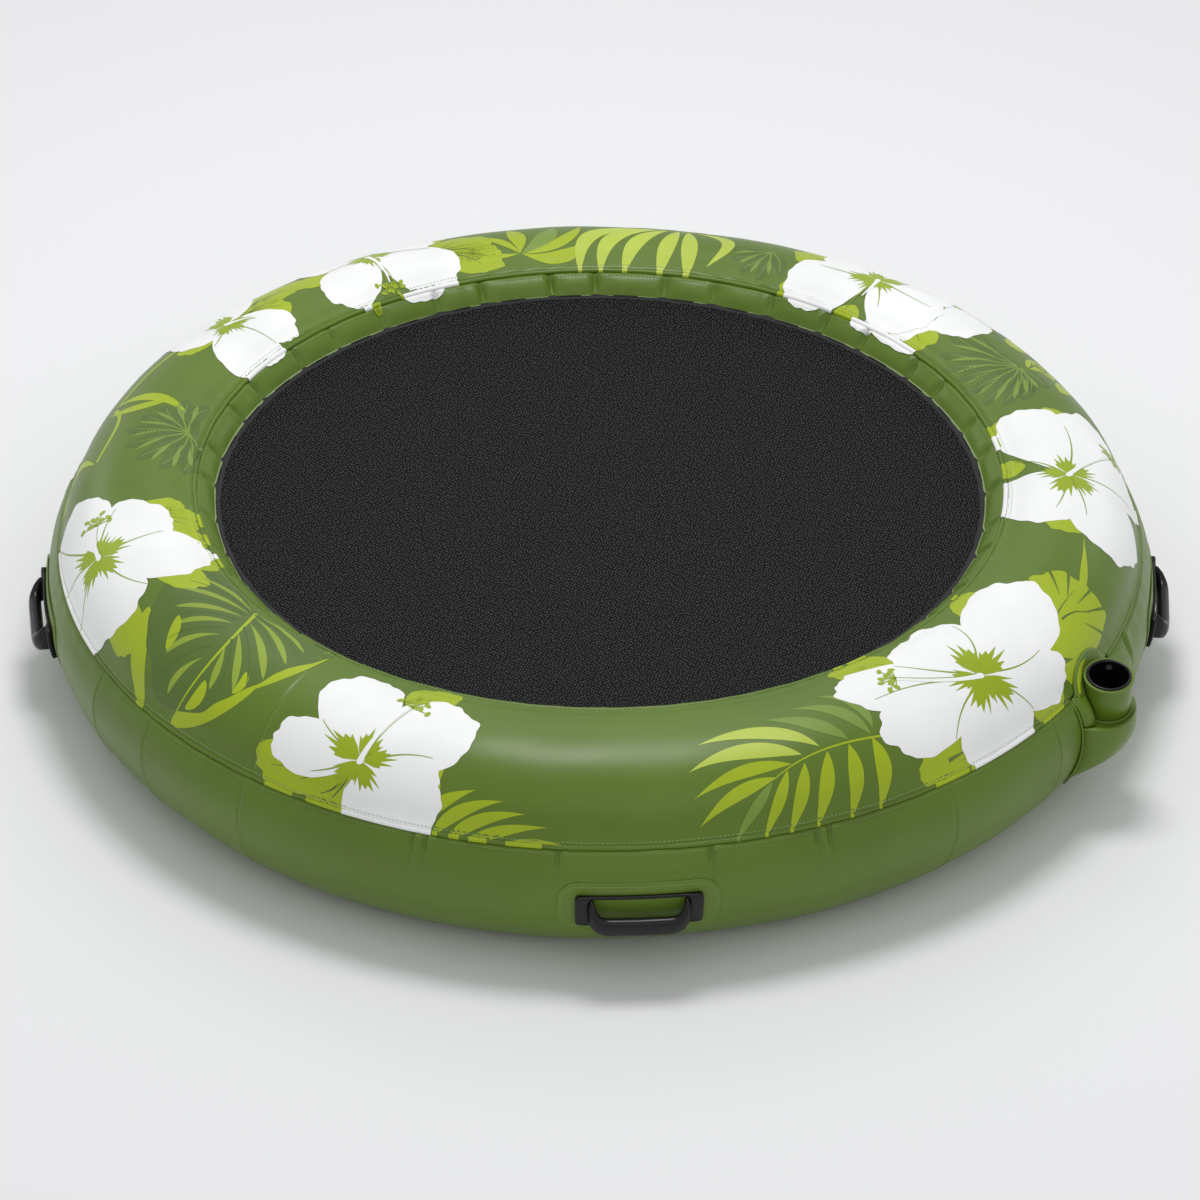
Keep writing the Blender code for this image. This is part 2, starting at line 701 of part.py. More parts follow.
def handle_base(side, azimuth, frame):
    """The moulded frame on the patch: two thick end blocks and a thin rail round a window."""
    name = "handle_base_" + side
    lift = FIT_GAP + PATCH_THICKNESS + FIT_GAP
    strip = wall_layer(name, azimuth, BASE_LENGTH, lift, BLOCK_THICKNESS)
    layer = part(name, strip, MOULDED_BLACK)
    outline = rounded_prism(name, BASE_LENGTH, BASE_WIDTH, 0.08, BASE_CORNER)
    boolean(layer, cutter(name + "_outline", outline, frame), "INTERSECT")
    open_length = BASE_LENGTH - 2 * BLOCK_LENGTH
    window = box_mesh(name, (open_length, BASE_WIDTH - 2 * BASE_RAIL, 0.09))
    boolean(layer, cutter(name + "_window", window, frame), "DIFFERENCE")
    above = wall_layer(name, azimuth, BASE_LENGTH, lift + BASE_THICKNESS, 0.03)
    recess = cutter(name + "_recess", above)
    span = cutter(name + "_span", box_mesh(name, (open_length, 2 * BASE_WIDTH, 0.1)), frame)
    boolean(recess, span, "INTERSECT")
    boolean(layer, recess, "DIFFERENCE")


def grip_stations():
    """Half the grip's path from foot to bar: along, up, out, half depth and half width."""
    foot = BASE_LENGTH / 2 - BLOCK_LENGTH - FIT_GAP - FOOT_DEPTH / 2
    fall = foot ** 2 / (2 * OUTER_SEAM_RADIUS)
    floor = 2 * FIT_GAP + PATCH_THICKNESS - fall / 2
    rise = GRIP_STANDOFF - floor
    spread = foot - GRIP_BAR_LENGTH / 2
    deep = GRIP_DEPTH / 2
    wide = GRIP_WIDTH / 2
    foot_deep = FOOT_DEPTH / 2
    foot_wide = BASE_WIDTH / 2 - BASE_RAIL - FIT_GAP
    clear = (FIT_GAP + BLOCK_THICKNESS + FIT_GAP + PATCH_THICKNESS - floor) / rise
    shares = (
        (0.00, 0.00, 0.00, 0.00),
        (0.00, clear, 0.00, 0.00),
        (0.22, clear + (1 - clear) * 0.45, 0.45, 0.30),
        (0.55, clear + (1 - clear) * 0.85, 0.80, 0.75),
        (1.00, 1.00, 1.00, 1.00),
    )
    stations = []
    for inward, outward, thicker, lower in shares:
        stations.append(
            (
                foot - spread * inward,
                -GRIP_DROOP * lower,
                floor + rise * outward,
                foot_deep + (deep - foot_deep) * thicker,
                foot_wide + (wide - foot_wide) * thicker,
            )
        )
    return stations


def grip_mesh(name, sides=10):
    """The grip as a loft of rounded sections, wide and thin at its feet, round at its bar."""
    half = grip_stations()
    path = half + [(-station[0], *station[1:]) for station in reversed(half)]
    last = len(path) - 1
    build = bmesh.new()
    rings = []
    for i, (along, up, out, deep, wide) in enumerate(path):
        before = path[max(i - 1, 0)]
        after = path[min(i + 1, last)]
        heading = Vector((after[0] - before[0], 0.0, after[2] - before[2])).normalized()
        if i <= 1 or i >= last - 1:
            heading = Vector((0.0, 0.0, 1.0 if i <= 1 else -1.0))
        across = Vector((0.0, 1.0, 0.0)).cross(heading)
        ring = []
        for k in range(sides):
            angle = math.tau * k / sides
            c = math.cos(angle)
            s = math.sin(angle)
            place = Vector((along, up, out))
            place += across * deep * math.copysign(abs(c) ** 0.8, c)
            place.y += wide * math.copysign(abs(s) ** 0.8, s)
            ring.append(build.verts.new(place))
        rings.append(ring)
    for lower, upper in zip(rings, rings[1:]):
        for k in range(sides):
            j = (k + 1) % sides
            build.faces.new((lower[k], lower[j], upper[j], upper[k]))
    build.faces.new(rings[0][::-1])
    build.faces.new(rings[-1])
    bmesh.ops.recalc_face_normals(build, faces=build.faces)
    mesh = bpy.data.meshes.new(name)
    build.to_mesh(mesh)
    build.free()
    smooth(mesh, 50.0)
    return mesh


def handles():
    """The four grab handles."""
    for side, degrees in HANDLE_AZIMUTHS.items():
        azimuth = math.radians(degrees)
        frame = holder("handle_" + side, wall_frame(azimuth, HANDLE_HEIGHT))
        handle_patch(side, azimuth, frame)
        handle_base(side, azimuth, frame)
        grip = "handle_grip_" + side
        part(grip, grip_mesh(grip), MOULDED_BLACK, frame)


def cup_frame():
    """Axes of the cup: Z up its leaning axis, X outwards, from the middle of its rim."""
    azimuth = math.radians(CUP_AZIMUTH)
    radius = OUTER_SEAM_RADIUS + CUP_OUTSIDE_SEAM
    place = Matrix.Translation(polar(radius, azimuth, OUTER_SEAM_HEIGHT + CUP_ABOVE_SEAM))
    lean = Matrix.Rotation(math.radians(CUP_LEAN_OUT), 4, "Y")
    lean_side = Matrix.Rotation(math.radians(CUP_LEAN_SIDE), 4, "X")
    return place @ Matrix.Rotation(azimuth, 4, "Z") @ lean_side @ lean


def cup_circle(radius, drop, angle):
    """A point on a circle round the cup's axis, drop below the rim."""
    place = Vector((radius * math.cos(angle), radius * math.sin(angle), -drop))
    return cup_frame() @ place


def cup_turned(name, points, finish):
    """A closed profile turned about the cup's axis."""
    made = part(name, profile_mesh(name, points, closed=True), finish, CUP_HOLDER)
    turn(made, CUP_FACETS)
    return made


def cup_pieces():
    """Sleeve, edge binding, collar, rim, liner and stud of the cup holder."""
    outer = SLEEVE_RADIUS
    inner = outer - SLEEVE_WALL
    top = -(BINDING_HEIGHT - BINDING_WALL)
    foot = -SLEEVE_DROP
    cup_turned("cup_sleeve", [(inner, top), (outer, top), (outer, foot), (inner, foot)], FABRIC_GREEN)
    inside = inner - FIT_GAP
    outside = outer + FIT_GAP
    bound_in = inside - BINDING_WALL
    bound_out = outside + BINDING_WALL
    crest = top + FIT_GAP
    hem = crest - BINDING_HEIGHT
    binding = [
        (bound_in, crest + BINDING_WALL),
        (bound_out, crest + BINDING_WALL),
        (bound_out, hem),
        (outside, hem),
        (outside, crest),
        (inside, crest),
        (inside, hem),
        (bound_in, hem),
    ]
    cup_turned("cup_edge_binding", binding, PATCH_GREEN)
    liner_out = bound_in - FIT_GAP
    liner_in = liner_out - LINER_WALL
    seat = -RIM_DEPTH
    floor = -LINER_DEPTH
    drain = LINER_DRAIN_RADIUS
    liner = [
        (liner_in, seat - FIT_GAP),
        (liner_out, seat - FIT_GAP),
        (liner_out, floor),
        (drain, floor),
        (drain, floor + LINER_FLOOR),
        (liner_in, floor + LINER_FLOOR),
    ]
    cup_turned("cup_liner", liner, RUBBER_BLACK)
    rim = [
        (liner_out - RIM_EDGE, 0.0),
        (liner_out, -RIM_EDGE),
        (liner_out, seat),
        (RIM_BORE_RADIUS, seat),
        (RIM_BORE_RADIUS, -2 * RIM_EDGE),
        (RIM_BORE_RADIUS + RIM_EDGE, 0.0),
    ]
    cup_turned("cup_rim", rim, MOULDED_BLACK)
    low = COLLAR_BASE
    edge = outside + COLLAR_WALL
    collar = [
        (outside, low + COLLAR_HEIGHT),
        (outside + COLLAR_WALL / 2, low + COLLAR_HEIGHT),
        (edge, low + COLLAR_HEIGHT / 2),
        (outside + COLLAR_WALL / 2, low),
        (outside, low),
    ]
    cup_turned("cup_collar", collar, PATCH_GREEN)
    flat = liner_in * math.cos(math.pi / CUP_FACETS)
    stand = flat - FIT_GAP - STUD_HEIGHT / 2
    facing = Matrix.Rotation(math.tau * (STUD_FACET + 0.5) / CUP_FACETS, 4, "Z")
    place = facing @ Matrix.Translation((stand, 0.0, -STUD_DROP)) @ Matrix.Rotation(math.pi / 2, 4, "Y")
    stud = cylinder_mesh("cup_stud", STUD_RADIUS, STUD_HEIGHT, 12)
    smooth(stud)
    part("cup_stud", stud, ZIP_STEEL, holder("cup_stud_seat", place, CUP_HOLDER))


def wall_point(across, height, out=0.0):
    """A point of the outer wall's facets, across from the cup's plane at a height."""
    azimuth = math.radians(CUP_AZIMUTH)
    column = radius_at(inset(SIDE_LINE, -out), height)
    off = across / column
    for _ in range(4):
        off = math.asin(across / faceted_radius(column, azimuth + off))
    return polar(faceted_radius(column, azimuth + off), azimuth + off, height)


def cup_pod():
    """The sewn pocket below the sleeve: full at its lip, fading into the wall below."""
    azimuth = math.radians(CUP_AZIMUTH)
    radial = polar(1.0, azimuth, 0.0)
    half_turn = CUP_FACETS // 2
    tall = POD_TOP - POD_BOTTOM
    rows = []
    levels = 6
    for level in range(levels + 1):
        share = level / levels
        height = POD_BOTTOM + FIT_GAP + tall * share
        reach = POD_REACH * (1 - (1 - share) ** 3)
        row = []
        for k in range(half_turn + 1):
            angle = math.pi * (k / half_turn - 0.5)
            place = wall_point((POD_HALF_WIDTH - FIT_GAP) * math.sin(angle), height)
            row.append(place + radial * reach * abs(math.cos(angle)) ** 0.9)
        rows.append(row)
    lip = SLEEVE_RADIUS + 2 * FIT_GAP
    circle = []
    for k in range(half_turn + 1):
        circle.append(cup_circle(lip, -COLLAR_BASE + POD_LIP_DROP, math.pi * (k / half_turn - 0.5)))
    rows.append(circle)
    mesh = grid_mesh("cup_pod", rows)
    smooth(mesh, 50.0)
    thicken(part("cup_pod", mesh, FABRIC_GREEN), COVER_THICKNESS)


def hood_edge(count):
    """The hood's outer edge: up from the lip, round over the top panel and down again."""
    azimuth = math.radians(CUP_AZIMUTH)
    sagitta = HOOD_INSIDE_SEAM
    bend = (POD_HALF_WIDTH ** 2 + sagitta ** 2) / (2 * sagitta)
    centre = OUTER_SEAM_RADIUS - sagitta + bend
    bend -= COVER_THICKNESS + 2 * FIT_GAP
    half = POD_HALF_WIDTH - COVER_THICKNESS - FIT_GAP
    sweep = math.asin(half / bend)
    start = POD_TOP + COVER_THICKNESS + 2 * FIT_GAP
    places = [wall_point(half, start)]
    for k in range(count - 1):
        angle = sweep * (1 - 2 * k / (count - 2))
        x = centre - bend * math.cos(angle)
        y = bend * math.sin(angle)
        at = azimuth + math.atan2(y, x)
        radius = math.hypot(x, y)
        places.append(polar(radius, at, height_at(TOP_LINE, radius * column_scale(at))))
    places.append(wall_point(-half, start))
    return places


def cup_hood():
    """The panel behind the cup, from a curved seam on top down to the sleeve's foot."""
    half_turn = CUP_FACETS // 2
    outer_edge = hood_edge(half_turn)
    lip = SLEEVE_RADIUS + COLLAR_WALL + 3 * FIT_GAP
    steps = 3
    rows = []
    for step in range(steps + 1):
        row = []
        for k in range(half_turn + 1):
            inner = cup_circle(lip, -COLLAR_BASE, math.pi * (0.5 + k / half_turn))
            row.append(outer_edge[k].lerp(inner, step / steps))
        rows.append(row)
    mesh = grid_mesh("cup_hood", rows)
    smooth(mesh, 50.0)
    thicken(part("cup_hood", mesh, FABRIC_GREEN), COVER_THICKNESS)


def cup_welt():
    """The raised seam down both sides of the pod and across its foot."""
    lift = FIT_GAP + WELT_RADIUS
    line = inset(SIDE_LINE, -lift)
    beside = POD_HALF_WIDTH + WELT_RADIUS + FIT_GAP
    foot = POD_BOTTOM - WELT_RADIUS
    head = OUTER_SEAM_HEIGHT - 4 * PIPING_RADIUS
    heights = [head] + [z for _, z in line if foot < z < head] + [foot]
    left = [wall_point(-beside, height, lift) for height in heights]
    right = [wall_point(beside, height, lift) for height in heights]
    across = []
    for column in (0, -1):
        at = FIRST_COLUMN + column * FACET_ANGLE
        across.append(polar(radius_at(line, foot), at, foot))
    places = left + across[::-1] + right[::-1]
    part("cup_welt", tube_mesh("cup_welt", places, WELT_RADIUS), PIPING_GREEN)


def valve_turned(name, points, finish):
    """A closed profile turned about the valve's axis."""
    made = part(name, profile_mesh(name, points, closed=True), finish, VALVE_HOLDER)
    turn(made, VALVE_FACETS)
    return made


def valve():
    """The screw valve: base welded to the bladder, insert with its flap, seal and cap."""
    low = FIT_GAP
    shelf = low + VALVE_FLANGE_THICKNESS
    top = low + VALVE_COLLAR_HEIGHT
    bore = VALVE_BORE_RADIUS
    collar = VALVE_COLLAR_RADIUS
    flange = VALVE_FLANGE_RADIUS
    base = [(bore, top), (collar, top), (collar, shelf), (flange, shelf), (flange, low), (bore, low)]
    valve_turned("valve_base", base, VALVE_GREY)
    seal_top = top + FIT_GAP + 2 * VALVE_SEAL_RADIUS
    outer = bore - FIT_GAP
    inner = outer - VALVE_INSERT_WALL
    under = seal_top + FIT_GAP
    crown = under + VALVE_INSERT_RIM
    insert = [
        (inner, crown),
        (collar, crown),
        (collar, under),
        (outer, under),
        (outer, low),
        (inner, low),
    ]
    valve_turned("valve_insert", insert, VALVE_GREY)
    ring = collar - VALVE_SEAL_RADIUS - FIT_GAP
    middle = top + FIT_GAP + VALVE_SEAL_RADIUS
    seal = []
    for k in range(6):
        angle = -math.tau * k / 6
        r = ring + VALVE_SEAL_RADIUS * math.cos(angle)
        seal.append((r, middle + VALVE_SEAL_RADIUS * math.sin(angle)))
    valve_turned("valve_seal", seal, RUBBER_BLACK)
    place = Matrix.Translation((0.0, 0.0, -VALVE_FLAP_THICKNESS / 2))
    flap_radius = (inner + outer) / 2
    flap = cylinder_mesh("valve_flap", flap_radius, VALVE_FLAP_THICKNESS, VALVE_FACETS, place)
    smooth(flap)
    part("valve_flap", flap, RUBBER_BLACK, VALVE_HOLDER)
    cap_in = collar + FIT_GAP
    cap_out = cap_in + VALVE_CAP_WALL
    cap_under = crown + FIT_GAP
    cap_top = cap_under + VALVE_CAP_WALL
    skirt = cap_top - VALVE_CAP_HEIGHT
    shell = [
        (0.0, cap_top),
        (cap_out, cap_top),
        (cap_out, skirt),
        (cap_in, skirt),
        (cap_in, cap_under),
        (0.0, cap_under),
    ]
    cap = valve_turned("valve_cap", shell, VALVE_GREY)
    root = cap_top - VALVE_CAP_WALL / 2
    size = (2 * collar - VALVE_CAP_BAR, VALVE_CAP_BAR, VALVE_CAP_BAR)
    bar = box_mesh("valve_cap_bar", size, (0.0, 0.0, root + VALVE_CAP_BAR / 2))
    boolean(cap, cutter("valve_cap_bar", bar, VALVE_HOLDER), "UNION")


def zip_line():
    """The middle of the zip on the section: a point, the way up the wall and the way out."""
    upper, lower = SIDE_LINE[SIDE_FACETS // 2 + 1], SIDE_LINE[SIDE_FACETS // 2 + 2]
    middle = Vector(((upper[0] + lower[0]) / 2, (upper[1] + lower[1]) / 2))
    up = Vector((upper[0] - lower[0], upper[1] - lower[1])).normalized()
    out = Vector((up.y, -up.x))
    return middle, up, out


def zip_strip(name, low, height, centre, width):
    """A band along the zip: low and height out of the wall, centre and width up it."""
    middle, up, out = zip_line()
    corners = []
    for side, level in ((1, low + height), (-1, low + height), (-1, low), (1, low)):
        place = middle + up * (centre + side * width / 2) + out * level
        corners.append((place.x, place.y))
    holder = bpy.data.objects.new(name, profile_mesh(name, corners, closed=True))
    CUTTERS.objects.link(holder)
    turn(holder, ZIP_FACETS, math.radians(ZIP_END - ZIP_START))
    mesh = evaluated_mesh(holder)
    mesh.transform(Matrix.Rotation(math.radians(ZIP_START), 4, "Z"))
    bpy.data.objects.remove(holder, do_unlink=True)
    build = bmesh.new()
    build.from_mesh(mesh)
    bmesh.ops.holes_fill(build, edges=[e for e in build.edges if e.is_boundary], sides=4)
    bmesh.ops.recalc_face_normals(build, faces=build.faces)
    build.to_mesh(mesh)
    build.free()
    return mesh


def zip_frame(azimuth):
    """Axes on the zip: X along it, Y up the wall, Z out, from the wall's face."""
    middle, up, out = zip_line()
    radial = polar(1.0, azimuth, 0.0)
    along = Vector((-radial.y, radial.x, 0.0))
    rise = radial * up.x + Vector((0.0, 0.0, up.y))
    outward = radial * out.x + Vector((0.0, 0.0, out.y))
    place = Matrix.Translation(polar(middle.x, azimuth, middle.y))
    return place @ Matrix((along, rise, outward)).transposed().to_4x4()


def zip_fastener():
    """Two tapes with their interlocked teeth, end stops, slider and pull."""
    middle, _, _ = zip_line()
    run = math.radians(ZIP_END - ZIP_START) * middle.x - 2 * STOP_LENGTH - 2 * TOOTH_LENGTH
    count = int(run / TOOTH_PITCH)
    start = math.radians(ZIP_START + ZIP_END) / 2 - (count - 1) / 2 * TOOTH_PITCH / middle.x
    tape_middle = CHAIN_WIDTH / 2 + FIT_GAP + TAPE_WIDTH / 2
    reach = CHAIN_WIDTH + TOOTH_HOLD
    for row, (name, side) in enumerate((("zip_tape_upper", 1), ("zip_tape_lower", -1))):
        strip = zip_strip(name, FIT_GAP, TAPE_THICKNESS, side * tape_middle, TAPE_WIDTH)
        tape = part(name, strip, WEBBING_BLACK)
        build = bmesh.new()
        for i in range(row, count, 2):
            centre = (0.0, side * TOOTH_HOLD / 2, TOOTH_BASE + TOOTH_HEIGHT / 2)
            place = zip_frame(start + i * TOOTH_PITCH / middle.x) @ Matrix.Translation(centre)
            size = Matrix.Diagonal((TOOTH_LENGTH, reach, TOOTH_HEIGHT, 1.0))
            bmesh.ops.create_cube(build, size=1.0, matrix=place @ size)
        mesh = bpy.data.meshes.new(name + "_teeth")
        build.to_mesh(mesh)
        build.free()
        boolean(tape, cutter(name + "_teeth", mesh), "UNION")
    end_shift = STOP_LENGTH / middle.x
    first = math.radians(ZIP_START) + end_shift
    last = math.radians(ZIP_END) - end_shift
    for name, azimuth in (("zip_stop_first", first), ("zip_stop_last", last)):
        size = (STOP_LENGTH, CHAIN_WIDTH, TOOTH_HEIGHT)
        stop = box_mesh(name, size, (0.0, 0.0, TOOTH_BASE + TOOTH_HEIGHT / 2))
        part(name, stop, ZIP_STEEL, holder(name + "_seat", zip_frame(azimuth)))
    stand = STOP_LENGTH / 2 + SLIDER_LENGTH / 2 + SLIDER_CLEARANCE
    zip_slider(last - stand / middle.x)


def zip_slider(azimuth):
    """The slider, which straddles the teeth, and the pull that pivots on its bridge."""
    track = holder("zip_track", Matrix.Rotation(azimuth, 4, "Z"))
    frame = holder("zip_slider_seat", zip_frame(0.0), track)
    under = TOOTH_BASE + TOOTH_HEIGHT + SLIDER_CLEARANCE
    top = under + SLIDER_PLATE
    foot = FIT_GAP + TAPE_THICKNESS + SLIDER_CLEARANCE
    thick = top - foot
    middle = (top + foot) / 2
    shell = rounded_prism("zip_slider", SLIDER_LENGTH, SLIDER_WIDTH, thick, 0.003, 3, middle)
    slider = part("zip_slider", shell, ZIP_STEEL, frame)
    channel = CHAIN_WIDTH + 2 * TOOTH_HOLD + 2 * SLIDER_CLEARANCE
    groove = box_mesh("zip_slider_groove", (0.04, channel, 2 * (under - foot)), (0.0, 0.0, foot))
    boolean(slider, cutter("zip_slider_groove", groove, frame), "DIFFERENCE")
    size = (BRIDGE_LENGTH, BRIDGE_WIDTH, BRIDGE_HEIGHT + SLIDER_PLATE / 2)
    bridge = box_mesh("zip_slider_bridge", size, (0.0, 0.0, top + BRIDGE_HEIGHT / 2 - SLIDER_PLATE / 4))
    boolean(slider, cutter("zip_slider_bridge", bridge, frame), "UNION")
    axis_height = top + BRIDGE_HEIGHT - 2.2 * PULL_PIN_RADIUS
    sideways = Matrix.Rotation(math.pi / 2, 4, "X")
    across = Matrix.Translation((0.0, 0.0, axis_height)) @ sideways
    hole = cylinder_mesh("zip_slider_hole", PULL_PIN_RADIUS + PIN_CLEARANCE, 0.02, 12, across)
    boolean(slider, cutter("zip_slider_hole", hole, frame), "DIFFERENCE")
    hinge = holder("zip_pull_axis", Matrix.Translation((0.0, 0.0, axis_height)), frame)
    behind = 1.5 * PULL_PIN_RADIUS
    length = PULL_LENGTH + behind
    plate = rounded_prism("zip_pull", length, PULL_WIDTH, PULL_THICKNESS, 0.003, 3)
    plate.transform(Matrix.Translation((behind - length / 2, 0.0, 0.0)))
    pull = part("zip_pull", plate, ZIP_STEEL, hinge)
    slot_length = BRIDGE_LENGTH + 2 * PULL_PIN_RADIUS + 2 * FIT_GAP
    slot = box_mesh("zip_pull_slot", (slot_length, BRIDGE_WIDTH + 2 * FIT_GAP, 0.01))
    boolean(pull, cutter("zip_pull_slot", slot, hinge), "DIFFERENCE")
    pin = cylinder_mesh("zip_pull_pin", PULL_PIN_RADIUS, PULL_WIDTH - 0.002, 12, sideways)
    boolean(pull, cutter("zip_pull_pin", pin, hinge), "UNION")
    place = Matrix.Translation((-PULL_LENGTH * 0.78, 0.0, 0.0))
    eye = cylinder_mesh("zip_pull_eye", PULL_WIDTH * 0.24, 0.01, 12, place)
    boolean(pull, cutter("zip_pull_eye", eye, hinge), "DIFFERENCE")


CUP_HOLDER = holder("cup_axis", cup_frame())
VALVE_HOLDER = holder("valve_axis", valve_frame())
air_bladder()
cover_panels()
top_piping()
mesh_floor()
handles()
cup_pieces()
cup_pod()
cup_hood()
cup_welt()
valve()
zip_fastener()
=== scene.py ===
import math

import bpy
import numpy as np
from mathutils import Matrix, Vector


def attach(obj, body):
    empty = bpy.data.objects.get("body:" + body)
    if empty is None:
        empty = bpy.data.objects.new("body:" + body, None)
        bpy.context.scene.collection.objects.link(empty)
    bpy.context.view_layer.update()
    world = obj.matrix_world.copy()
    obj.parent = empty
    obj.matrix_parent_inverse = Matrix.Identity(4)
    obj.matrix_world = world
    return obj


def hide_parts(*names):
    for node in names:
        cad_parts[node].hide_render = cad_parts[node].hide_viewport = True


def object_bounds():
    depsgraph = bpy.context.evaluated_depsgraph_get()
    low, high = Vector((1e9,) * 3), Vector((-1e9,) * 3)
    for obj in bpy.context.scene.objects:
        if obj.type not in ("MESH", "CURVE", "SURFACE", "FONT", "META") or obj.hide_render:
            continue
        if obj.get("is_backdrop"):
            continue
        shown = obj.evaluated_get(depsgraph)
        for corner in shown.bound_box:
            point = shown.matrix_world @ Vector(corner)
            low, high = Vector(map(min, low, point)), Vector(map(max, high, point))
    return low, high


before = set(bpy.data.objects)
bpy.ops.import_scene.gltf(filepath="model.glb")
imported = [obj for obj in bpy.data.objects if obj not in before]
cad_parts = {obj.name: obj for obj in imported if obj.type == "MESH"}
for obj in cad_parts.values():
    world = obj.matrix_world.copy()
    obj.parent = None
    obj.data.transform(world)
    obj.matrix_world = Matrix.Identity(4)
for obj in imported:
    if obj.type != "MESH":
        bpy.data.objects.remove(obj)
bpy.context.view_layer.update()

# Camera: a long lens 9 m from the ring, looking down at it by 34 degrees.
# The frame's middle is the lens's axis, and the camera is rolled by half a degree.
camera_place = (0.00107, -7.32273, 5.05620)
camera_pitch, camera_roll = 0.596547, 0.007904
sight = Vector((0.0, math.cos(camera_pitch), -math.sin(camera_pitch)))
level = Vector((1.0, 0.0, 0.0))
upright = level.cross(sight)
right = level * math.cos(camera_roll) + upright * math.sin(camera_roll)
above = upright * math.cos(camera_roll) - level * math.sin(camera_roll)
camera_data = bpy.data.cameras.new("camera")
camera_data.lens = 144.879
camera_data.sensor_width = 36.0
camera_data.clip_end = 200.0
camera = bpy.data.objects.new("camera", camera_data)
camera.matrix_world = Matrix.Translation(camera_place) @ (
    Matrix((right, above, -sight)).transposed().to_4x4()
)
bpy.context.scene.collection.objects.link(camera)
bpy.context.scene.camera = camera


# Studio: a pale seamless floor under a wide overhead softbox, with four weaker lamps round it.
# The object stands on the floor and throws only a soft shadow on it.
def new_material(name):
    """An empty node material and its node tree."""
    made = bpy.data.materials.new(name)
    made.use_nodes = True
    made.node_tree.nodes.clear()
    return made, made.node_tree


def shader_node(tree, kind, inputs=None, **settings):
    """A shader node of a kind: its settings by name, and its inputs by name or number, each
    given a value, the output that feeds it, or a node for that node's first output."""
    made = tree.nodes.new("ShaderNode" + kind)
    for key, value in settings.items():
        setattr(made, key, value)
    for key, value in (inputs or {}).items():
        if isinstance(value, bpy.types.Node):
            value = value.outputs[0]
        if isinstance(value, bpy.types.NodeSocket):
            tree.links.new(value, made.inputs[key])
        else:
            made.inputs[key].default_value = value
    return made


def mesh_object(name, points, faces):
    """An object with its place in its mesh, from (n, 3) points and (m, 4) corner numbers. Points
    within a micrometre are made one, so a face with two corners in one place becomes a triangle
    and a thinner one is left out."""
    points = np.asarray(points, float)
    _, first, same = np.unique(np.round(points, 6), axis=0, return_index=True, return_inverse=True)
    faces = same.reshape(-1)[np.asarray(faces)]
    distinct = faces != np.roll(faces, 1, axis=1)
    corners = distinct.sum(1)
    triangles = faces[corners == 3][distinct[corners == 3]].reshape(-1, 3)
    mesh = bpy.data.meshes.new(name)
    mesh.from_pydata(points[first].tolist(), [], faces[corners == 4].tolist() + triangles.tolist())
    mesh.polygons.foreach_set("use_smooth", np.full(len(mesh.polygons), True))
    made = bpy.data.objects.new(name, mesh)
    bpy.context.scene.collection.objects.link(made)
    return made


floor_side = 30.0
floor_corners = np.array([(-1, -1, 0), (1, -1, 0), (1, 1, 0), (-1, 1, 0)]) * floor_side
floor = mesh_object("studio_floor", floor_corners, [(0, 1, 2, 3)])
floor_look, tree = new_material("studio_floor")
shade = shader_node(tree, "BsdfDiffuse", {"Color": (0.87, 0.87, 0.88, 1.0)})
shader_node(tree, "OutputMaterial", {"Surface": shade})
floor.data.materials.append(floor_look)
floor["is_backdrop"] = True

world = bpy.data.worlds.new("studio")
world.use_nodes = True
tree = world.node_tree
tree.nodes.clear()
rays = shader_node(tree, "LightPath").outputs
seen = {0: rays["Is Camera Ray"], 1: rays["Is Transmission Ray"]}
seen = shader_node(tree, "Math", seen, operation="MAXIMUM")
fill = shader_node(tree, "Background", {"Color": (0.98, 0.99, 1.0, 1.0), "Strength": 0.58})
backdrop = shader_node(tree, "Background", {"Color": (0.80, 0.81, 0.83, 1.0)})
mix = shader_node(tree, "MixShader", {0: seen, 1: fill, 2: backdrop})
shader_node(tree, "OutputWorld", {"Surface": mix})
bpy.context.scene.world = world
bpy.context.scene.view_settings.view_transform = "Standard"

lit_point = Vector((0.0, 0.0, 0.2))
for name, place, wide, tall, power in (
    ("lamp_over", (0.0, 0.4, 4.8), 2.0, 1.5, 96.0),
    ("lamp_behind", (0.0, 4.6, 5.2), 4.6, 1.7, 28.0),
    ("lamp_left", (-4.4, 5.0, 2.3), 1.5, 1.5, 14.0),
    ("lamp_right", (4.4, 5.0, 2.3), 1.5, 1.5, 10.0),
    ("lamp_front", (1.6, -6.0, 4.6), 3.4, 3.4, 23.0),
):
    lamp_data = bpy.data.lights.new(name, "AREA")
    lamp_data.shape = "ELLIPSE"
    lamp_data.size = wide
    lamp_data.size_y = tall
    lamp_data.energy = power
    lamp = bpy.data.objects.new(name, lamp_data)
    lamp.location = place
    lamp.rotation_euler = (lit_point - Vector(place)).to_track_quat("-Z", "Y").to_euler()
    bpy.context.scene.collection.objects.link(lamp)


# Cover: four ring-shaped panels of coated fabric, cut, sewn together and drawn tight by the
# inflated ring inside. The seams pull shallow puckers into the fabric beside them.
def noise(tree, place, scale, detail=2.0):
    """A noise pattern at a place."""
    return shader_node(tree, "TexNoise", {"Vector": place, "Scale": scale, "Detail": detail})


def bump(tree, height, strength, distance, **more):
    """A bump from a height, laid over another normal where one is given."""
    inputs = {"Height": height, "Strength": strength, "Distance": distance, **more}
    return shader_node(tree, "Bump", inputs)


def colour_ramp(tree, value, *stops):
    """A colour between two stops, each a position and a colour, by a value."""
    made = shader_node(tree, "ValToRGB", {"Fac": value})
    for element, (position, colour) in zip(made.color_ramp.elements, stops):
        element.position = position
        element.color = (*colour, 1.0)
    return made


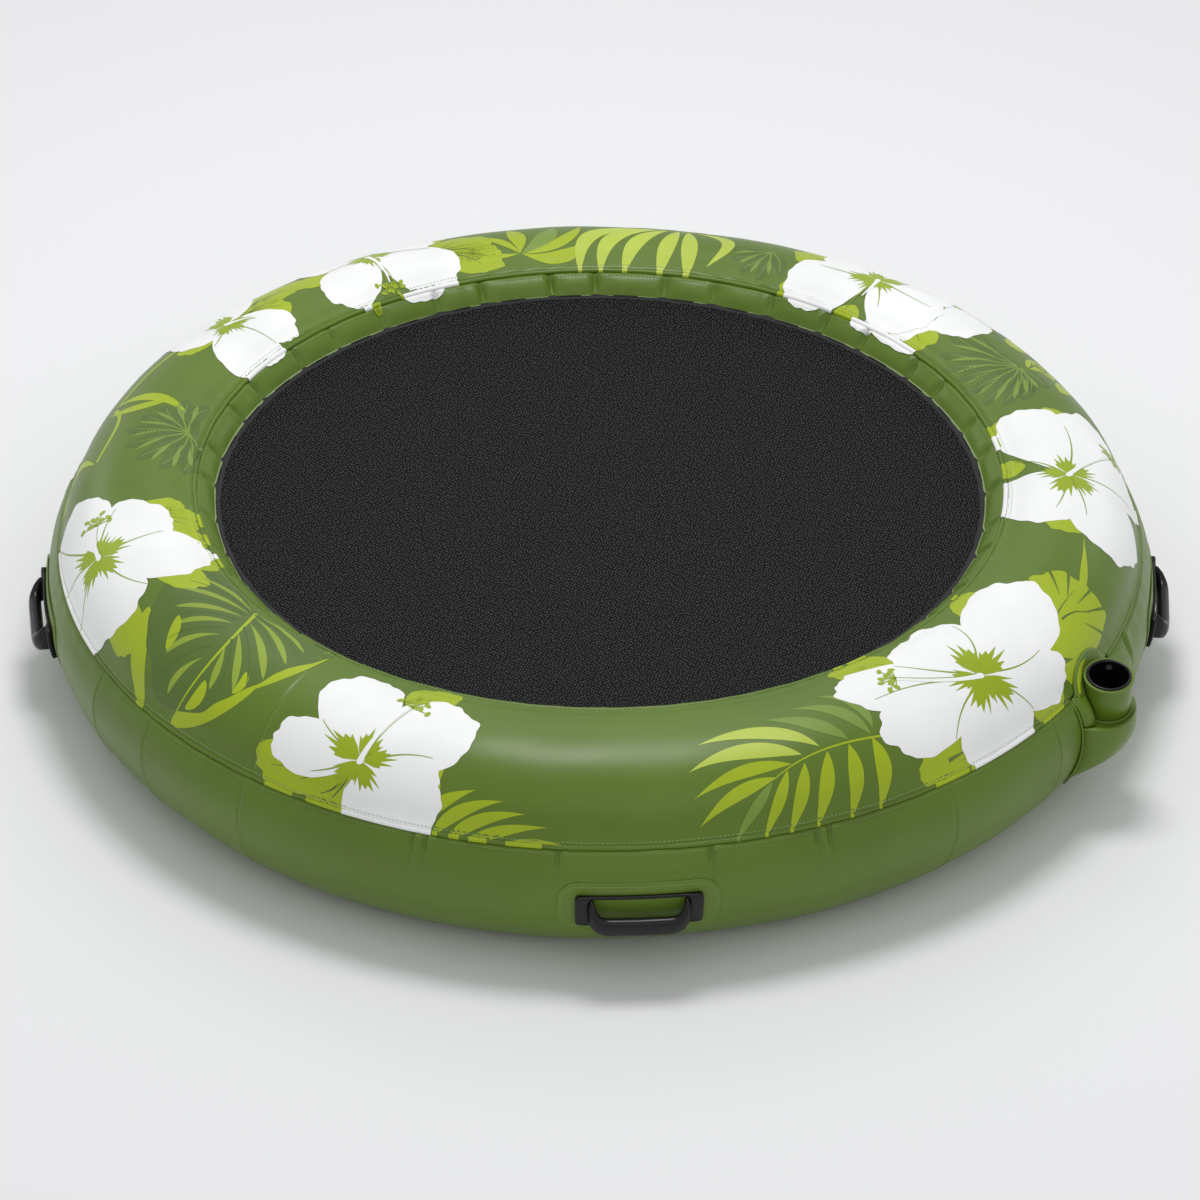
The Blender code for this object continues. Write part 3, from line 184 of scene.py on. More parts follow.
def coated_fabric(name, colour, roughness=0.38):
    """Coated woven fabric: a colour that drifts a little, a fine grain and a soft satin sheen."""
    made, tree = new_material(name)
    place = shader_node(tree, "TexCoord").outputs["Object"]
    tint = noise(tree, place, 3.5, 3.0)
    deeper, paler = [c * 0.92 for c in colour], [min(c * 1.08, 0.95) for c in colour]
    grained = bump(tree, noise(tree, place, 900.0), 0.5, 0.00012)
    worn = {"Value": tint, "To Min": roughness - 0.05, "To Max": roughness + 0.06}
    cloth = shader_node(tree, "BsdfPrincipled", {
        "Base Color": colour_ramp(tree, tint, (0.3, deeper), (0.7, paler)),
        "Normal": bump(tree, noise(tree, place, 9.0), 0.35, 0.004, Normal=grained),
        "Roughness": shader_node(tree, "MapRange", worn),
        "Sheen Weight": 0.02,
        "Sheen Roughness": 0.45,
        "Specular IOR Level": 0.42,
    })
    shader_node(tree, "OutputMaterial", {"Surface": cloth})
    return made


def finished(made, node, look, wall=None):
    """Give a piece of the float its material, join it to the float's body, hide the CAD node that
    it stands for if there is one, and give it a wall inwards if it is a single skin."""
    if wall:
        skin = made.modifiers.new("wall", "SOLIDIFY")
        skin.thickness = wall
        skin.offset = -1.0
    made.data.materials.append(look)
    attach(made, "float")
    if node:
        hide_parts(node)
    return made


def cell_faces(rows, columns, close_rows=False, close_columns=False):
    """The corner numbers of each cell of a grid of points counted row by row, facing along rows
    x columns; a closed way joins its last row or column to its first."""
    numbers = np.arange(rows * columns).reshape(rows, columns)
    if close_rows:
        numbers = np.vstack([numbers, numbers[:1]])
    if close_columns:
        numbers = np.hstack([numbers, numbers[:, :1]])
    corners = (numbers[:-1, :-1], numbers[1:, :-1], numbers[1:, 1:], numbers[:-1, 1:])
    return np.stack(corners, -1).reshape(-1, 4)


def grid(name, points, close_rows=False, close_columns=False):
    """A surface through (rows, columns, 3) points."""
    faces = cell_faces(*points.shape[:2], close_rows, close_columns)
    return mesh_object(name, points.reshape(-1, 3), faces)


def without_loose(points, faces):
    """Points and faces with the points that no face uses left out."""
    used = np.unique(faces)
    fresh = np.zeros(len(points), int)
    fresh[used] = np.arange(len(used))
    return points[used], fresh[faces]


def shares(count):
    """Evenly spread shares from 0 to 1."""
    return np.linspace(0.0, 1.0, count)


def full_turn(count, start=0.0):
    """Evenly spread angles of a full turn."""
    return np.linspace(start, start + 2 * np.pi, count, endpoint=False)


def curve_line(corners, count):
    """count points of the Bezier curve of four (radius, height) corners."""
    share = shares(count)[:, None]
    a, b, c, d = (np.array(p) for p in corners)
    return (
        (1 - share) ** 3 * a + 3 * share * (1 - share) ** 2 * b
        + 3 * share**2 * (1 - share) * c + share**3 * d
    )


def length_along(points):
    """The length of a line of points up to each of them."""
    steps = np.linalg.norm(np.diff(points, axis=0), axis=1)
    return np.concatenate([[0.0], np.cumsum(steps)])


def measured(line):
    """A (radius, height) line with its length so far and its outward side: columns r, z, length,
    normal r, normal z."""
    step = np.gradient(line, axis=0)
    step /= np.linalg.norm(step, axis=1)[:, None]
    return np.column_stack([line, length_along(line), -step[:, 1], step[:, 0]])


def ring_points(radius, azimuth, height):
    """Points at a radius, an azimuth and a height."""
    x, y = radius * np.cos(azimuth), radius * np.sin(azimuth)
    return np.stack(np.broadcast_arrays(x, y, height), -1)


def around(line, azimuth, length, lift=0.0):
    """Points of the ring at azimuth and at a length along a measured line, lifted off it:
    radius (r + lift n_r) turned to the azimuth, height z + lift n_z."""
    radius, height, out_r, out_z = (np.interp(length, line[:, 2], line[:, k]) for k in (0, 1, 3, 4))
    return ring_points(radius + lift * out_r, azimuth, np.maximum(height + lift * out_z, 0.0))


inner_seam, outer_seam = (0.732, 0.352), (0.970, 0.247)
inner_foot, outer_foot = (0.745, 0.018), (0.915, 0.018)
top_line, side_line, inner_line = (measured(curve_line(corners, 600)) for corners in (
    (inner_seam, (0.78975, 0.4059), (0.96425, 0.37465), outer_seam),
    (outer_seam, (1.01836, 0.21476), (1.02172, 0.08516), outer_foot),
    (inner_foot, (0.637, 0.098), (0.612, 0.272), inner_seam),
))
bottom_line = measured(np.concatenate([
    curve_line((outer_foot, (0.902, 0.009), (0.890, 0.000), (0.868, 0.000)), 200)[:-1],
    curve_line(((0.868, 0.000), (0.845, 0.000), (0.815, 0.000), (0.792, 0.000)), 200),
    curve_line(((0.792, 0.000), (0.770, 0.000), (0.758, 0.009), inner_foot), 200)[1:],
]))
cover_olive = (0.104, 0.176, 0.011)
cover_look = coated_fabric("cover_olive", cover_olive)
cover_wall = 0.0008
top_groove = np.radians([-126.7])
seam_azimuths = np.radians([-151.0, -141.2, -127.2, -52.9, -37.6, 32.0, 76.0, 152.0])
pucker_azimuths = np.radians(
    [-108.2, -106.9, -93.8, -79.0, -68.2, -66.9, -20.0, 12.0, 54.0, 98.0, 171.0]
)
groove_width = 0.0035
sewn_flat = 0.008
swell_width = 0.009


def bell(distance, width):
    """A bell curve: exp(-(distance / width)^2)."""
    return np.exp(-((distance / width) ** 2))


def eased(distance, width):
    """1 at far negative distances, 0 at far positive ones: 1 / (1 + exp(distance / width))."""
    return 1.0 / (1.0 + np.exp(distance / width))


def turn_from(azimuth, middles):
    """The turn from each middle azimuth, from minus half a turn to half a turn."""
    return (azimuth[..., None] - middles + np.pi) % (2 * np.pi) - np.pi


def near(azimuth, middles, width):
    """Sum of bell curves of a width in metres round each middle azimuth, at a radius of 1 m."""
    return bell(turn_from(azimuth, middles), width).sum(-1)


def drift(azimuth, length, size):
    """A slow wander of a size: three sines of whole numbers of waves round the ring."""
    return size * (
        np.sin(7 * azimuth + 9 * length)
        + 0.7 * np.sin(13 * azimuth - 14 * length + 1.3)
        + 0.5 * np.sin(29 * azimuth + 21 * length + 0.4)
    )


def top_lift(azimuth, length):
    """How far the top panel stands off its smooth line: a swell beside each piping, puckers that
    fade in 30 mm from the inner seam, finer ones at the outer seam, and one sewn groove across."""
    from_outer = top_line[-1, 2] - length
    gathers = 0.0010 * np.sin(80 * azimuth + 2 * np.sin(11 * azimuth)) * bell(length, 0.030)
    ripples = 0.0004 * np.sin(120 * azimuth + np.sin(17 * azimuth)) * bell(from_outer, 0.022)
    groove = -0.0014 * near(azimuth, top_groove, groove_width)
    held = (1 - bell(length, sewn_flat)) * (1 - bell(from_outer, sewn_flat))
    swell = 0.0052 * bell(length - 0.0068, swell_width)
    swell = swell + 0.0042 * bell(from_outer - 0.0088, swell_width)
    return (drift(azimuth, length, 0.0008) + gathers + ripples + groove) * held + swell


zip_start, zip_end = math.radians(108.0), math.radians(138.0)
zip_above, zip_below = np.array([0.99439, 0.118336]), np.array([0.966343, 0.06451])
zip_up = (zip_above - zip_below) / np.linalg.norm(zip_above - zip_below)
zip_out = np.array([zip_up[1], -zip_up[0]])
from_zip = side_line[:, :2] - (zip_above + zip_below) / 2
zip_bed = -(from_zip @ zip_out) / (side_line[:, 3:] @ zip_out)
zip_length = float(np.interp(0.0, -(from_zip @ zip_up), side_line[:, 2]))
zip_reach, zip_margin, zip_ring_radius = 0.016, 0.010, 0.98


def beside_zip(azimuth, length):
    """How much of the wall is drawn flat by the zip: 1 on its tapes and the fabric 10 mm round
    them, easing to 0 outside, by the azimuth times the ring's radius and by the length."""
    past = np.abs(azimuth - (zip_start + zip_end) / 2) - (zip_end - zip_start) / 2
    aside = np.maximum(np.abs(length - zip_length) - zip_reach, 0.0)
    far = np.hypot(np.maximum(past, 0.0) * zip_ring_radius, aside)
    return eased(far - zip_margin, 0.002)


def side_lift(azimuth, length):
    """How far the outer wall stands off its line: a swell under the piping, sewn grooves down it,
    short puckers that fade in 50 mm, and a flat strip under the zip."""
    grooves = -0.0016 * near(azimuth, seam_azimuths, groove_width)
    swell = 0.0012 * near(azimuth, seam_azimuths, 0.020)
    puckers = -0.0060 * near(azimuth, pucker_azimuths, 0.0055) * bell(length, 0.050)
    beside = 0.0034 * near(azimuth, pucker_azimuths + 0.011, 0.0080) * bell(length, 0.045)
    ripples = 0.0006 * np.sin(110 * azimuth + np.sin(19 * azimuth)) * bell(length, 0.030)
    held = 1 - bell(length, sewn_flat)
    swell = swell + 0.0038 * bell(length - 0.0088, swell_width)
    puckers = puckers + beside
    free = (drift(azimuth, length, 0.0008) + grooves + puckers + ripples) * held + swell
    flat = beside_zip(azimuth, length)
    return free * (1 - flat) + np.interp(length, side_line[:, 2], zip_bed) * flat


fold_count = 40
fold = np.arange(fold_count)
fold_azimuths = np.radians(fold * 9.0 + 1.1 * np.sin(2.7 * fold))


def inner_lift(azimuth, length):
    """How far the inner wall stands off its line: forty folds where the mesh's tabs pull it, each
    a sharp valley beside a soft ridge, deepest 25 mm below the seam, with full rolls between."""
    down = inner_line[-1, 2] - length
    off = turn_from(azimuth, fold_azimuths)
    deep = 0.0062 + 0.0028 * np.sin(5.3 * fold)
    lean = off + 0.10 * (down[..., None] - 0.03) * np.sin(1.9 * fold)
    valley = (deep * bell(lean, 0.0075)).sum(-1)
    ridge = (0.5 * deep * bell(lean - 0.020, 0.014)).sum(-1)
    nearest = np.abs(off).min(-1) / (np.pi / fold_count)
    rolls = 0.0080 * bell(down - 0.026, 0.021) * (1 - (1 - np.minimum(nearest, 1.0)) ** 2.4)
    swell = 0.0052 * bell(down - 0.0062, 0.0085)
    folds = (ridge - valley) * bell(down - 0.024, 0.026)
    return (drift(azimuth, length, 0.0006) + folds + rolls) * (1 - bell(down, sewn_flat)) + swell


def ring_columns(fine, middles=()):
    """Evenly spread azimuths, with closer ones round each sewn line."""
    even = full_turn(fine, -np.pi)
    reach, count = 0.010, 15
    close = (np.reshape(middles, (-1, 1)) + np.linspace(-reach, reach, count)).ravel()
    return np.unique(np.round(np.concatenate([even, close]), 6))


cup_azimuth = math.radians(-29.25)
pod_half, pod_bottom, pod_top, pod_reach = 0.0725, 0.076, 0.198, 0.058
hood_inside = 0.015
hood_bend = (pod_half**2 + hood_inside**2) / (2 * hood_inside)
hood_centre = outer_seam[0] - hood_inside + hood_bend


def cup_opening(points, margin=0.004):
    """Which (..., 3) points lie in the opening for the cup: under the hood's arc above the outer
    seam, or beside the pocket's plane and above its foot on the wall."""
    x, y, z = points[..., 0], points[..., 1], points[..., 2]
    outwards = x * math.cos(cup_azimuth) + y * math.sin(cup_azimuth)
    across = y * math.cos(cup_azimuth) - x * math.sin(cup_azimuth)
    above_seam = z > outer_seam[1]
    on_top = above_seam & (np.hypot(outwards - hood_centre, across) < hood_bend - margin)
    on_wall = (z > pod_bottom + margin) & ~above_seam & (np.abs(across) < pod_half - margin)
    return (outwards > 0.5) & (on_top | on_wall)


def flat_lift(azimuth, length):
    """No lift anywhere."""
    return 0.0 * azimuth * length


top_rows, top_columns = 48, ring_columns(950, top_groove)
side_columns = ring_columns(720, np.concatenate([seam_azimuths, pucker_azimuths]))
for name, node, slot, line, lift, rows, columns in (
    ("top_panel", "cover_top_panel", "cover_print", top_line, top_lift, top_rows, top_columns),
    ("outer_wall", "cover_outer_wall", "cover_green", side_line, side_lift, 34, side_columns),
    ("inner_wall", "cover_inner_wall", "cover_green", inner_line, inner_lift, 44,
     ring_columns(1000)),
    ("underside", "cover_bottom_panel", "cover_green", bottom_line, flat_lift, 16,
     ring_columns(360)),
):
    length, azimuth = np.linspace(0.0, line[-1, 2], rows)[:, None], columns[None, :]
    points = around(line, azimuth, length, lift(azimuth, length)).reshape(-1, 3)
    faces = cell_faces(rows, len(columns), close_columns=True)
    faces = faces[~cup_opening(points)[faces].all(1)]
    panel = mesh_object(name, *without_loose(points, faces))
    finished(panel, node, cover_look, wall=cover_wall)

# Inflated ring: one closed tube of clear plastic film inside the cover, welded along its rim.
# It presses the cover out from inside and shows only at the valve.
film_line = measured(
    np.concatenate([line[:-1, :2] for line in (top_line, side_line, bottom_line, inner_line)])
)
film_look, tree = new_material("film")
film = {"Base Color": (0.55, 0.60, 0.60, 1.0), "Roughness": 0.22}
shader_node(tree, "OutputMaterial", {"Surface": shader_node(tree, "BsdfPrincipled", film)})
film_gap, film_gap_inside, film_at_cup = 0.0075, 0.0080, 0.944
film_length = np.linspace(0.0, film_line[-1, 2], 64, endpoint=False)[:, None]
film_inside = eased(film_line[-1, 2] - inner_line[-1, 2] - film_length, 0.006)
film_lift = -(film_gap + film_gap_inside * film_inside)
film_points = around(film_line, ring_columns(240)[None, :], film_length, film_lift)
from_middle = np.hypot(film_points[..., 0], film_points[..., 1])
pushed_in = cup_opening(film_points, -0.016)
behind_cup = np.where(pushed_in, np.minimum(film_at_cup / from_middle, 1.0), 1.0)
film_points[..., :2] *= behind_cup[..., None]
tube = grid("inflated_ring", film_points, close_rows=True, close_columns=True)
finished(tube, "air_bladder", film_look)


# Piping: a fold of the cover's fabric sewn into both top seams round a cord, standing up as a
# narrow bead, with a line of stitches along the top panel beside it.
def tube_round(path, across, up, radius, sides):
    """Points of a tube along a path: path + radius (cos a across + sin a up)."""
    angle = full_turn(sides)[:, None, None]
    return path[None] + radius * (np.cos(angle) * across[None] + np.sin(angle) * up[None])


def capped(path, points):
    """A tube's points with both ends drawn together on its path."""
    first, last = path[:1] + 0 * points[:, :1], path[-1:] + 0 * points[:, -1:]
    return np.concatenate([first, points, last], axis=1)


def unit(vectors):
    """Vectors scaled to length one."""
    return vectors / np.linalg.norm(vectors, axis=-1, keepdims=True)


def repeated(name, points, faces):
    """Many alike shapes as one mesh: the points of each, and the faces of the first."""
    points = points.reshape(len(points), -1, 3)
    faces = np.arange(len(points))[:, None, None] * points.shape[1] + faces[None]
    return mesh_object(name, points.reshape(-1, 3), faces.reshape(-1, 4))


thread_look = coated_fabric("thread", (0.30, 0.42, 0.16), roughness=0.6)
seam_thread = coated_fabric("seam_thread", (0.20, 0.29, 0.09), roughness=0.6)
thread_width, stitch_pitch = 0.0011, 0.0072
stitch_length = stitch_pitch * 0.62
bead_seams, bead_radius = ((0.7296, 0.3553), (0.9722, 0.2500)), 0.0048


def stitches(name, middle, along, out, length, look):
    """Short sewn threads at middle, lying along a direction and raised outwards: each a low
    six-sided bead of 4 rings."""
    side = np.cross(out, along)[:, None, None]
    reach = (np.array([-0.5, -0.28, 0.28, 0.5]) * length)[:, None, None]
    girth = (np.array([0.25, 1.0, 1.0, 0.25]) * thread_width / 2)[:, None, None]
    angle = full_turn(6)[:, None]
    round_it = np.cos(angle) * side + np.sin(angle) * out[:, None, None]
    points = middle[:, None, None] + reach * along[:, None, None] + girth * round_it
    sides = cell_faces(4, 6, close_columns=True)[:, [0, 3, 2, 1]]
    caps = np.array([(0, 3, 2, 1), (0, 5, 4, 3), (18, 19, 20, 21), (18, 21, 22, 23)])
    return finished(repeated(name, points, np.vstack([sides, caps])), None, look)


def sewn(name, line, azimuth, length, high, look, step):
    """Stitches at places along a line, each lying along a small (azimuth, length) step."""
    middle = around(line, azimuth, length, high)
    ahead = around(line, azimuth + step[0], length + step[1], high)
    outer = around(line, azimuth, length, high + 1e-3)
    stitches(name, middle, unit(ahead - middle), unit(outer - middle), stitch_length, look)


for name, seam, out_r, out_z, node in (
    ("inner_piping", bead_seams[0], 0.0, 1.0, "piping_inner_top"),
    ("outer_piping", bead_seams[1], 0.55, 0.83, "piping_outer_top"),
):
    closed = node == "piping_inner_top"
    stop = math.asin(pod_half / outer_seam[0]) + 0.0048
    azimuth = np.linspace(cup_azimuth + stop, cup_azimuth + math.tau - stop, 720)
    azimuth = ring_columns(720) if closed else azimuth
    turn = ring_points(1.0, azimuth, 0.0)
    wobble = 0.0004 * np.sin(61 * azimuth)[:, None]
    path = turn * (seam[0] + wobble) + np.array([0.0, 0.0, seam[1]])
    across = turn * out_z - np.array([0.0, 0.0, out_r])
    up = turn * out_r + np.array([0.0, 0.0, out_z])
    points = tube_round(path, across, up, bead_radius, 14)
    points = points if closed else capped(path, points)
    bead = grid(name, points, close_rows=True, close_columns=closed)
    finished(bead, node, cover_look)

stitch_inset = 0.0125
for name, line, length, look, lift in (
    ("stitches_inner_seam", top_line, stitch_inset, thread_look, top_lift),
    ("stitches_outer_seam", top_line, top_line[-1, 2] - stitch_inset, thread_look, top_lift),
    ("stitches_under_seam", side_line, 0.0110, seam_thread, side_lift),
    ("stitches_wall_seam", inner_line, inner_line[-1, 2] - 0.0115, seam_thread, inner_lift),
):
    radius = np.interp(length, line[:, 2], line[:, 0])
    count = int(2 * np.pi * radius / stitch_pitch)
    azimuth = -np.pi + (np.arange(count) + 0.5) * (2 * np.pi) / count
    high = 0.0004 + lift(azimuth, np.full(count, length))
    outside = ~cup_opening(around(line, azimuth, length, high), -0.002)
    sewn(name, line, azimuth[outside], length, high[outside], look, (1e-4, 0.0))
for name, line, azimuths, start, end, look, lift in (
    ("stitches_top_groove", top_line, top_groove + 0.0042, 0.016, top_line[-1, 2] - 0.016,
     thread_look, top_lift),
    ("stitches_wall_grooves", side_line, seam_azimuths + 0.0040, 0.018, 0.20,
     seam_thread, side_lift),
    ("stitches_pleats", side_line, pucker_azimuths + 0.0050, 0.016, 0.045,
     seam_thread, side_lift),
):
    length = np.tile(np.arange(start, end, stitch_pitch), len(azimuths))
    azimuth = np.repeat(azimuths, len(length) // len(azimuths))
    sewn(name, line, azimuth, length, 0.0003 + lift(azimuth, length), look, (0.0, 1e-4))

# Print: hibiscus flowers, palm fronds and split leaves, screened onto the top panel before it
# was sewn, so the print runs over the piping. Each ink is a thin film that follows the fabric.
# The motifs' places are (degrees round the ring, millimetres from the inner seam).
panel_end = float(top_line[-1, 2])
panel_rows = np.linspace(0.0, panel_end, top_rows)
panel_lift = top_lift(top_columns[None, :], panel_rows[:, None])
panel_points = around(top_line, top_columns[None, :], panel_rows[:, None], panel_lift)
panel_points = np.concatenate([panel_points, panel_points[:, :1]], axis=1)
panel_columns = np.append(top_columns, top_columns[0] + 2 * np.pi)
print_radius, print_step, seam_edge = 0.85, 0.0085, 0.0045
ink_lift, layer_step, printed_bead, over_start = 0.00020, 0.00005, 0.0049, 0.0020
bead_arcs = []
for seam, (first, last, side) in zip(bead_seams, ((62.0, 236.0, -1.0), (113.0, -38.0, 1.0))):
    arc = np.radians(np.linspace(first, last, 22))
    r, z = seam[0] + printed_bead * np.cos(arc), seam[1] + printed_bead * np.sin(arc)
    arc = measured(np.column_stack([r, z]))
    arc[:, 3:] *= side
    bead_arcs.append(arc)
ink_colours = {
    "shadow": (0.070, 0.123, 0.016),
    "dark": (0.086, 0.146, 0.018),
    "olive": (0.185, 0.290, 0.038),
    "lime": (0.355, 0.455, 0.004),
    "white": (0.90, 0.91, 0.90),
    "line": (0.255, 0.350, 0.030),
    "star": (0.300, 0.400, 0.004),
    "pale": (0.450, 0.560, 0.060),
    "ground": cover_olive,
}
inks = {ink: [] for ink in ink_colours}


def on_panel(azimuth, length, lift):
    """Points on the top panel's own facets, lifted along the smooth line's normal: the four
    corners round each point weighted by how near it is to them."""
    azimuth = (azimuth - panel_columns[0]) % (2 * np.pi) + panel_columns[0]
    column = np.searchsorted(panel_columns, azimuth, side="right") - 1
    column = np.clip(column, 0, len(panel_columns) - 2)
    left_edge = panel_columns[column]
    across = ((azimuth - left_edge) / (panel_columns[column + 1] - left_edge))[..., None]
    row = length / panel_end * (len(panel_rows) - 1)
    low_row = np.clip(np.floor(row).astype(int), 0, len(panel_rows) - 2)
    down = (row - low_row)[..., None]
    low, high = (
        panel_points[k, column] * (1 - across) + panel_points[k, column + 1] * across
        for k in (low_row, low_row + 1)
    )
    out = around(top_line, azimuth, length, 1.0) - around(top_line, azimuth, length, 0.0)
    return low * (1 - down) + high * down + lift * out


def refined(plane, step):
    """A (rows, columns, 2) shape with straight points added until neighbours are a step apart."""
    for way in (0, 1):
        gap = np.linalg.norm(np.diff(plane, axis=way), axis=-1).max()
        times = max(1, int(math.ceil(gap / step)))
        at = np.linspace(0, plane.shape[way] - 1, (plane.shape[way] - 1) * times + 1)
        low = np.minimum(np.floor(at).astype(int), plane.shape[way] - 2)
        share = (at - low).reshape((-1, 1, 1) if way == 0 else (1, -1, 1))
        plane = np.take(plane, low, way) * (1 - share) + np.take(plane, low + 1, way) * share
    return plane


def printed(ink, centre, plane, layer):
    """Lay a (rows, columns, 2) shape on the panel: x runs round the ring to the right of the
    centre, y towards the inner seam, in metres; each layer stands 0.05 mm higher. Where the
    shape crosses a seam, a strip as wide as the crossing carries on over the piping."""
    narrowest, strip_step = 0.002, 0.006
    plane = refined(plane, print_step)
    azimuth = math.radians(centre[0]) + plane[..., 0] / print_radius
    length = centre[1] / 1000 - plane[..., 1]
    lift = ink_lift + layer_step * layer
    inks[ink].append(on_panel(azimuth, np.clip(length, seam_edge, panel_end - seam_edge), lift))
    for edge, arc in ((seam_edge, bead_arcs[0]), (panel_end - seam_edge, bead_arcs[1])):
        crossed = []
        for way in (0, 1):
            here = np.arange(length.shape[way] - 1)
            a, b = (np.take(length, here + k, way) - edge for k in (0, 1))
            p, q = (np.take(azimuth, here + k, way) for k in (0, 1))
            crosses = a * b < 0
            crossed.append((p + (q - p) * a / np.where(crosses, a - b, 1.0))[crosses])
        crossed = np.concatenate(crossed)
        if len(crossed) > 1 and np.ptp(crossed) > narrowest:
            count = max(3, int(np.ptp(crossed) / strip_step))
            columns = np.linspace(crossed.min(), crossed.max(), count)[None, :]
            start = on_panel(columns, np.full(columns.shape, edge), lift)
            bead = around(arc, columns, arc[:, 2:3], lift)
            inks[ink].append(np.concatenate([start, bead]))


def on_inner_wall(azimuth, down, lift):
    """Points of the inner wall's folded surface a way down from the top seam, lifted off it."""
    length = inner_line[-1, 2] - down
    return around(inner_line, azimuth, length, inner_lift(azimuth, length) + lift)


def over_seam(ink, start, end, depth):
    """A petal that runs on down the inner wall between two azimuths: rows from the piping to a
    rounded, slightly waved edge, as deep as depth times the root of 1 - |x| cubed."""
    x = np.linspace(-1.0, 1.0, 90)[None, :]
    azimuth = np.radians((start + end) / 2 + x * (end - start) / 2)
    edge = (depth - over_start) * np.sqrt(1 - np.abs(x) ** 3) * (1 + 0.07 * np.sin(9 * x + start))
    down = over_start + edge * shares(12)[:, None]
    inks[ink].append(on_inner_wall(azimuth, down, 0.0014))
    inks[ink].append(around(bead_arcs[0], azimuth, bead_arcs[0][:, 2:3], 0.0006))


def turned_by(plane, degrees, shift=(0.0, 0.0)):
    """A plane shape turned anticlockwise and moved."""
    c, s = math.cos(math.radians(degrees)), math.sin(math.radians(degrees))
    x, y = plane[..., 0], plane[..., 1]
    return np.stack([c * x - s * y + shift[0], s * x + c * y + shift[1]], -1)


def spots(centre, places):
    """Places on the panel, in metres in a plane round a centre."""
    places = np.array(places, float)
    x = np.radians(places[:, 0] - centre[0]) * print_radius
    return np.column_stack([x, centre[1] / 1000 - places[:, 1] / 1000])


def ringed(rim, middle, rings):
    """A filled shape: its rim shrunk towards its middle in even rings."""
    return middle + (rim - middle)[None] * shares(rings)[:, None, None]


def sampled(at, far, points):
    """Points of a line whose own points lie at far, where at says."""
    return np.column_stack([np.interp(at, far, column) for column in points.T])


def petal(length, width, seed, ruffle=0.045):
    """A petal from its root at 0 to its tip: width follows sin t sin(t/2)^0.6, and the rim
    waves by a few per cent towards the tip. Rings shrink towards the petal's middle."""
    t = np.linspace(0.0, 2 * np.pi, 96)
    x = length * (1 - np.cos(t)) / 2
    y = -width / 1.66 * np.sin(t) * np.sin(t / 2) ** 0.6
    wave = np.sin(6 * t + seed) + 0.6 * np.sin(11 * t + 2.1 * seed) + 0.4 * np.sin(19 * t + seed)
    swell = 1 + ruffle * wave * np.sin(t / 2) ** 4
    middle = np.array([0.52 * length, 0.0])
    rim = middle + (np.column_stack([x, y]) - middle) * swell[:, None]
    return ringed(rim, middle, 11)[:, ::-1]


def splash(length, seed):
    """One lobe of a flower's star: a fan of uneven rays, longer in its middle."""
    count, spread = 13, 35
    turn = np.linspace(-1.0, 1.0, count)
    reach = length * np.cos(turn * 0.95) * (1 + 0.13 * np.sin(seed + 2.3 * np.arange(count)))
    reach[::2] *= 0.68
    angle = np.radians(spread * turn)
    corners = np.column_stack([reach * np.cos(angle), reach * np.sin(angle)])
    at = np.linspace(0.0, count - 1.0, 4 * (count - 1) + 1)
    return ringed(sampled(at, np.arange(count), corners), 0.0, 6)


def ribbon(points, half, across):
    """A strip along the smooth curve through a few points (a polynomial of their chord lengths),
    reaching half to each side."""
    points = np.array(points, float)
    far = length_along(points)
    u = shares(len(half))
    degree = min(3, len(points) - 1)
    fits = (np.polyfit(far / far[-1], points[:, k], degree) for k in (0, 1))
    middle = np.column_stack([np.polyval(fit, u) for fit in fits])
    tangent = unit(np.gradient(middle, axis=0))
    normal = np.column_stack([-tangent[:, 1], tangent[:, 0]])
    sideways = np.linspace(-1.0, 1.0, across)[None, :, None]
    return middle[:, None] + normal[:, None] * half[:, None, None] * sideways


def leaflet(points, width, widest, blunt=1.0, count=26):
    """A leaf blade along a curve: its width follows sin(pi u^k)^blunt, with k set so that it is
    widest at a share of its length."""
    u = shares(count)
    shape = np.maximum(np.sin(np.pi * u ** (math.log(0.5) / math.log(widest))), 0.0)
    return ribbon(points, width / 2 * shape**blunt, 4)


def stroke(points, wide, narrow):
    """A line through a few points that tapers evenly."""
    return ribbon(points, (wide + (narrow - wide) * shares(26)) / 2, 3)


def outline(points, seed, ragged):
    """A filled shape with a smooth rim through its points, clockwise: cubic pieces between
    neighbours (Catmull-Rom), a ragged wave outwards, and rings towards its middle."""
    p = np.array(points, float)
    t = shares(9)[:-1][:, None]
    neighbours = zip(np.roll(p, 1, axis=0), p, np.roll(p, -1, axis=0), np.roll(p, -2, axis=0))
    rim = np.concatenate([
        0.5 * (2 * b + (c - a) * t + (2 * a - 5 * b + 4 * c - d) * t**2
               + (3 * b - a - 3 * c + d) * t**3)
        for a, b, c, d in neighbours
    ])
    middle = rim.mean(0)
    turn = full_turn(len(rim))
    wave = np.abs(np.sin(6.5 * turn + seed)) + 0.6 * np.sin(17 * turn + 2 * seed) - 0.6
    rim = middle + (rim - middle) * (1 + ragged * wave)[:, None]
    return ringed(np.vstack([rim, rim[:1]]), middle, 12)


def dot(centre, long, short, degrees):
    """A printed oval."""
    t = np.linspace(0.0, -2 * np.pi, 20)
    rim = np.column_stack([long * np.cos(t), short * np.sin(t)]) / 2
    return turned_by(ringed(rim, 0.0, 3), degrees, centre)


